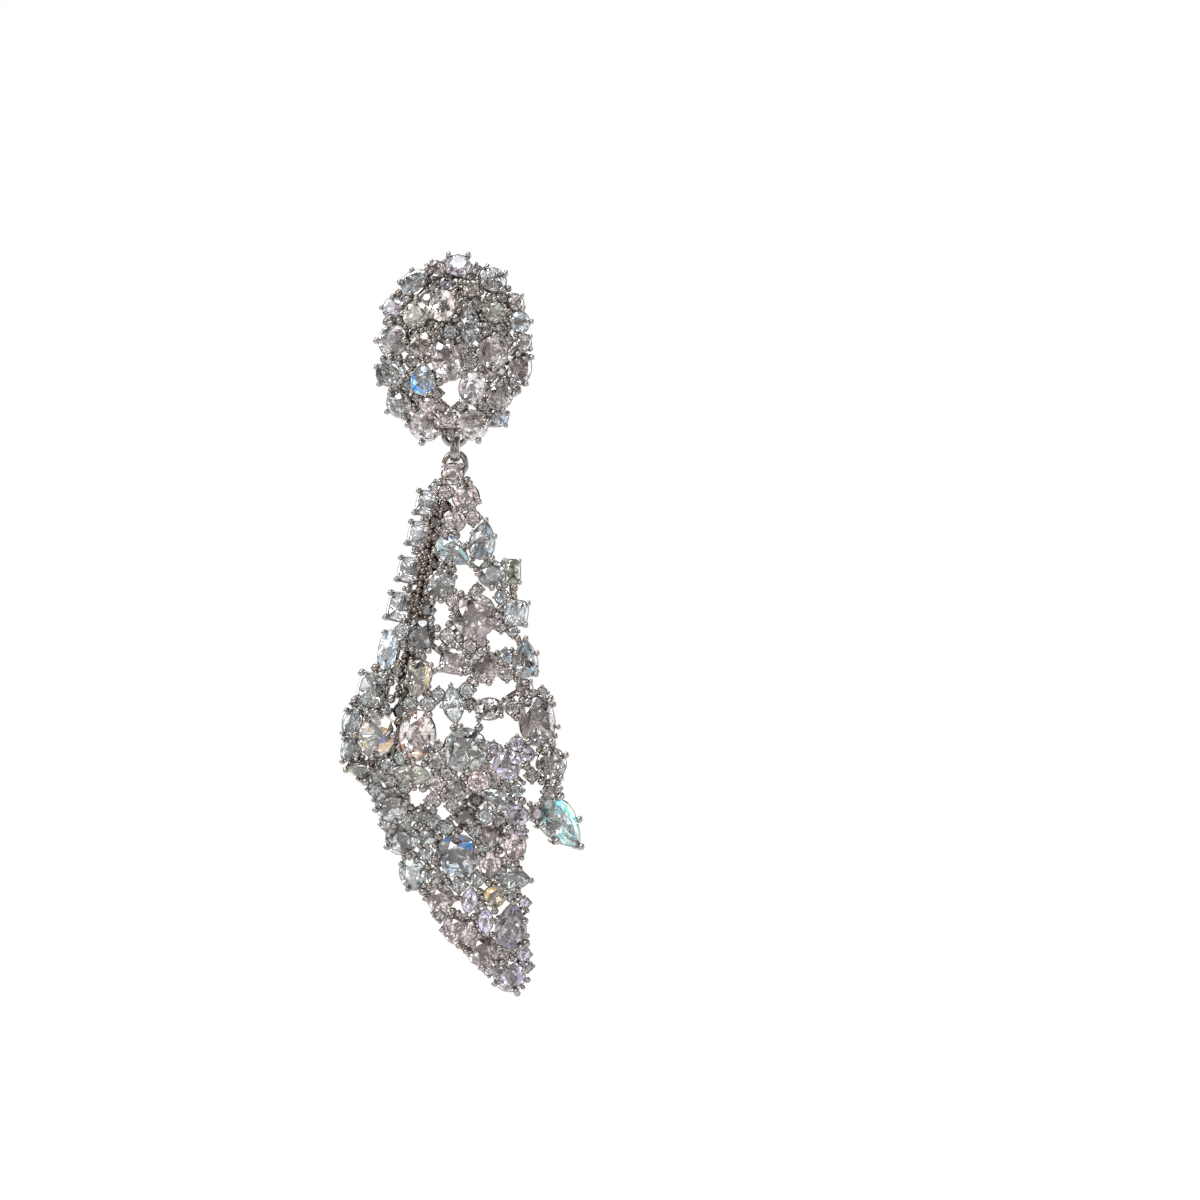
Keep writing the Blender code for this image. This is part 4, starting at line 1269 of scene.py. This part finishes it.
def eased(obj, width, segments=3):
    activate(obj)
    bevel = obj.modifiers.new("eased edge", "BEVEL")
    bevel.width = width
    bevel.segments = segments
    bevel.limit_method = "ANGLE"
    bevel.angle_limit = math.radians(40)
    bpy.ops.object.modifier_apply(modifier=bevel.name)
    return obj


def turned_disc(name, width, thickness, middle_y, sides):
    """A cylinder along the ear post."""
    deselect()
    bpy.ops.mesh.primitive_cylinder_add(
        vertices=sides, radius=width / 2, depth=thickness, location=(0, middle_y, 0), rotation=(QUARTER, 0, 0)
    )
    return named(name)


pad = eased(turned_disc("pad", PAD_WIDTH, PAD_THICKNESS, -PAD_THICKNESS / 2, 56), 0.14 * MM)
half_bridge = math.sqrt(1 - (DOME_CENTRE_Z / (RING_HEIGHT / 2)) ** 2) * RING_WIDTH / 2
deselect()
bridge_size = (2 * half_bridge, BRIDGE_THICKNESS, BRIDGE_WIDTH)
bpy.ops.mesh.primitive_cube_add(size=1, location=(0, BRIDGE_Y, 0), scale=bridge_size)
bridge = eased(named("bridge"), 0.16 * MM)
print("bridge:", [round(side / MM, 2) for side in bridge_size], "mm")

# %% [markdown]
# Posts run from the ring to the larger stones near the rim, and two struts carry the loop.

# %% Posts and struts
POST_FROM, SMALLEST_POSTED = 0.36, 1.0 * MM  # of the cluster's size; half a stone's width
POST_WIRE, STRUT_WIRE = 0.66 * MM, 0.78 * MM


def struts_from(point, seats):
    """Two wires from a loop to the nearest collets."""
    nearest = sorted(seats, key=lambda s: (s.back_point() - point).length)[:2]
    return [wire_between(point, seat.back_point(), STRUT_WIRE) for seat in nearest]


posts = []
for seat in dome_seats:
    out = Vector((seat.middle.x / DOME_WIDTH, (seat.middle.z - DOME_CENTRE_Z) / DOME_HEIGHT))
    if out.length < POST_FROM or seat.half_width < SMALLEST_POSTED:
        continue
    angle = math.atan2(out.x, out.y)
    x, z = math.sin(angle) * RING_WIDTH / 2, DOME_CENTRE_Z + math.cos(angle) * RING_HEIGHT / 2
    posts.append(wire_between(Vector((x, RING_Y, z)), seat.back_point(), POST_WIRE))
posts += struts_from(Vector((0, LOOP_Y, DOME_LOOP_Z + LOOP_RADIUS)), dome_seats)
print("posts and struts:", len(posts))

# %% Join the cluster's metal
# the cluster's back gets a little painted shade
for piece in (dome_loop, back_ring, pad, bridge, *posts):
    mark_painted_shade(piece, 0.12)
dome_back = casting("dome_back", [back_ring, dome_loop, pad, bridge, *posts], 42)
for piece in (dome_settings, dome_back):
    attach(piece, "dome")
    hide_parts("dome_frame")
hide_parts("dome_frame")
print("cluster's back:", len(dome_back.data.polygons), "faces")

# %% [markdown]
# ## The ear post
# The post is hidden in the photograph. It is a plain drawn wire, set in the pad, with its end rounded so
# that it goes through the ear without catching.

# %% Ear post
POST_WIDTH, POST_LENGTH, POST_SEAT = 0.9 * MM, 11.0 * MM, 0.6 * MM
post_middle = (POST_LENGTH - POST_SEAT) / 2
post = turned_disc("turned_ear_post", POST_WIDTH, POST_LENGTH + POST_SEAT, post_middle, 32)
smooth(eased(post, 0.3 * MM, 5), 35)
mark_painted_shade(post, 0.0)
post.data.materials.append(POST_PLATE)
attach(post, "dome")
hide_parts("ear_post")
print("post:", len(post.data.polygons), "faces")

# %% [markdown]
# ## The neck link
# The link is a ring of flat wire, drawn out to an oval. Its section is wide across the view and thin
# round the loops that hang in it.

# %% Neck link
link_middle = (LINK_TOP_Z + LINK_FOOT_Z) / 2
link_stretch = (LINK_TOP_Z - LINK_FOOT_Z) / 2 - LINK_RADIUS
link = ring("neck_oval", (0, LOOP_Y, link_middle), LINK_RADIUS, WIRE_WIDTH, (0, QUARTER, 0), 40, 16)
start_edit()
bpy.ops.transform.resize(value=(LINK_WIDTH / WIRE_WIDTH, 1, 1), center_override=(0, LOOP_Y, link_middle))
for sign in (1, -1):
    bpy.ops.mesh.select_all(action="DESELECT")
    bm = bmesh.from_edit_mesh(link.data)
    for vertex in bm.verts:
        vertex.select_set((vertex.co.z - link_middle) * sign > 0.000001)
    bm.select_flush(True)
    bmesh.update_edit_mesh(link.data)
    bpy.ops.transform.translate(value=(0, 0, link_stretch * sign))
end_edit()
smooth(link, 60)
# the link gets a little painted shade
mark_painted_shade(link, 0.1)
link.data.materials.append(DARKENED_PLATE)
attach(link, "link")
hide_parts("neck_link")
print("link:", len(link.data.polygons), "faces")

# %% [markdown]
# ## The drop
# The drop is set like the cluster. Its loop hangs on struts from the two nearest collets, and a rail runs
# down behind the fold, where the two panels lean on each other.

# %% Drop settings, loop and rail
RAIL_WIDTH, RAIL_SETBACK, RAIL_OVERLAP = 0.86 * MM, 1.0 * MM, 0.04


def along_fold(share):
    """A place on the fold in steps across and down, by its share of the way from head to foot."""
    return [head + (foot - head) * share for head, foot in zip(FOLD_HEAD, FOLD_FOOT)]


drop_settings, drop_small = dress_settings("drop", drop_seats, "drop", drop_circles, on_drop)
drop_loop = hanging_loop("drop_loop", DROP_LOOP_Z)
struts = struts_from(Vector((0, LOOP_Y, DROP_LOOP_Z - LOOP_RADIUS)), drop_seats)
rail_points = []
for share in (0.0, 0.25, 0.5, 0.75, 1.0):
    x, z = drop_place(*along_fold(share))
    rail_points.append(Vector((x, front_depth(x, z) + RAIL_SETBACK, z)))
for start, end in zip(rail_points, rail_points[1:]):
    struts.append(wire_between(start, end + (end - start) * RAIL_OVERLAP, RAIL_WIDTH))
# the drop's loop, struts and rail get painted shade
for piece in (drop_loop, *struts):
    mark_painted_shade(piece, 0.4)
print("struts and rail:", len(struts))

# %% [markdown]
# Small grains of metal stand close together along the rail. In the photograph they fill the shadow
# between the two panels. Each is a bead sunk a little in the rail, painted dark as that shadow.

# %% Grains along the fold
GRAIN_WIDTH, GRAIN_SETBACK, GRAIN_STEP = 0.78 * MM, 0.75 * MM, 6.5
GRAIN_ROWS, GRAIN_SHADE = (-1, -7.5), 0.92  # steps beside the fold
GRAIN_HEAD, GRAIN_FOOT = FOLD_HEAD[1] + 3, FOLD_FOOT[1] - 60
grains = []
for row, beside in enumerate(GRAIN_ROWS):
    down = GRAIN_HEAD + row * GRAIN_STEP / 2
    while down < GRAIN_FOOT:
        across = along_fold((down - FOLD_HEAD[1]) / (FOLD_FOOT[1] - FOLD_HEAD[1]))[0]
        x, z = drop_place(across + beside, down)
        place = Vector((x, front_depth(x, z) + GRAIN_SETBACK, z))
        width = GRAIN_WIDTH * chance.uniform(0.9, 1.05)
        grains.append(mark_painted_shade(bead_at(place, facing_of(side_depth, x, z), width), GRAIN_SHADE))
        down += GRAIN_STEP
drop_back = casting("drop_back", [drop_loop, *struts, *grains], 42)
for piece in (drop_settings, drop_back):
    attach(piece, "drop")
    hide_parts("drop_frame")
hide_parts("drop_frame")
print(drop_settings.name, len(drop_settings.data.polygons), "faces; grains:", len(grains))

# %% Clear the bench
units = [*UNIT_STONES.values(), *UNIT_COLLETS.values(), UNIT_WIRE, UNIT_BEAD]
for unit in units:
    bpy.data.objects.remove(unit)
print("unit shapes removed:", len(units))

# %% [markdown]
# ## The studio
# The photograph shows the earring on plain white. The floor is a pale sweep. The room's light is a soft
# gradient with a few dark bands, as between the cards of a light tent, because facets and polished
# beads show nothing but what surrounds them. The camera sees plain white instead.

# %% Floor
CARD_GLOW = 0.75  # so that the camera sees it white
deselect()
bpy.ops.mesh.primitive_grid_add(x_subdivisions=8, y_subdivisions=8, size=6, location=(0, 0, -0.2))
floor = named("floor")
card = bpy.data.materials.new("pale_card")
card.use_nodes = True
tree = card.node_tree
shader = set_values(tree.nodes["Principled BSDF"], Roughness=0.9, Emission_Color=(1, 1, 1, 1))
noise = new_node(tree, "TexNoise", Scale=3)
plug(new_node(tree, "TexCoord"), "Object", noise, "Vector")
paper = mixed(tree, noise.outputs["Fac"], (0.90, 0.90, 0.90, 1), (0.93, 0.93, 0.92, 1))
tree.links.new(paper, shader.inputs["Base Color"])
lift = new_node(tree, "Math")
lift.operation = "MULTIPLY"
lift.inputs[1].default_value = CARD_GLOW
plug(new_node(tree, "LightPath"), "Is Camera Ray", lift, 0)
plug(lift, "Value", shader, "Emission Strength")
floor.data.materials.append(card)
print("floor at", round(floor.data.vertices[0].co.z, 3))

# %% Lights
MIDDLE = Vector((0, -0.003, -0.030))  # of the earring, where every lamp points
LAMPS = (
    # name, place, width, power, colour
    ("key", (-0.30, -0.50, 0.34), 0.24, 1.7, (1.0, 0.97, 0.94)),
    ("fill", (0.42, -0.42, -0.30), 0.32, 1.0, (1.0, 0.94, 0.97)),
    ("top", (0.05, -0.10, 0.50), 0.28, 1.3, (0.95, 0.98, 1.0)),
    ("side", (-0.50, -0.22, 0.20), 0.36, 0.5, (0.90, 0.97, 1.0)),
    ("back left", (-0.24, 0.52, 0.16), 0.36, 2.2, (1.0, 0.99, 0.98)),
    ("back right", (0.50, 0.30, 0.06), 0.36, 1.2, (0.98, 0.99, 1.0)),
)
for name, place, width, power, colour in LAMPS:
    lamp = bpy.data.lights.new(name, "AREA")
    lamp.shape = "SQUARE"
    lamp.size = width
    lamp.energy = power
    lamp.color = colour
    stand = bpy.data.objects.new(name, lamp)
    stand.location = place
    stand.rotation_euler = (MIDDLE - Vector(place)).to_track_quat("-Z", "Y").to_euler()
    bpy.context.scene.collection.objects.link(stand)
print("lamps:", [lamp[0] for lamp in LAMPS])

# %% Room
world = bpy.data.worlds.new("light_tent")
bpy.context.scene.world = world
world.use_nodes = True
tree = world.node_tree
tree.nodes.clear()
bands = new_node(tree, "TexNoise", Scale=3.4, Detail=2.0)
plug(new_node(tree, "TexCoord"), "Generated", bands, "Vector")
levels = new_node(tree, "ValToRGB")
dark, light = levels.color_ramp.elements
dark.position, dark.color = 0.42, (0.035, 0.035, 0.04, 1)
light.position, light.color = 0.62, (1.0, 0.985, 0.975, 1)
plug(bands, "Fac", levels, "Fac")
tent = new_node(tree, "Background", Strength=1.0)
plain = new_node(tree, "Background", Strength=1.0, Color=(1, 1, 1, 1))
mix = new_node(tree, "MixShader")
plug(levels, "Color", tent, "Color")
plug(new_node(tree, "LightPath"), "Is Camera Ray", mix, "Fac")
plug(tent, "Background", mix, 1)
plug(plain, "Background", mix, 2)
plug(mix, "Shader", new_node(tree, "OutputWorld"), "Surface")
bpy.context.scene.view_settings.view_transform = "Standard"
print("room:", world.name)

# %% [markdown]
# ## The camera
# The photograph is taken straight from the front through a long lens. The earring stands left of the
# middle, so the camera does too: it looks along +Y, with the picture 120 mm wide at the stones.

# %% Camera
PICTURE_WIDTH = 0.120  # metres across 1200 pixels, at the stones
LENS, SENSOR = 150, 36
AIM = (0.01455, -0.004, -0.0282)  # the middle of the picture
lens = bpy.data.cameras.new("camera")
lens.lens = LENS
lens.sensor_width = SENSOR
lens.clip_start, lens.clip_end = 0.01, 20
camera = bpy.data.objects.new("camera", lens)
bpy.context.scene.collection.objects.link(camera)
camera.location = (AIM[0], AIM[1] - PICTURE_WIDTH * LENS / SENSOR, AIM[2])
camera.rotation_euler = (QUARTER, 0, 0)
bpy.context.scene.camera = camera
print("camera at", [round(v, 3) for v in camera.location])
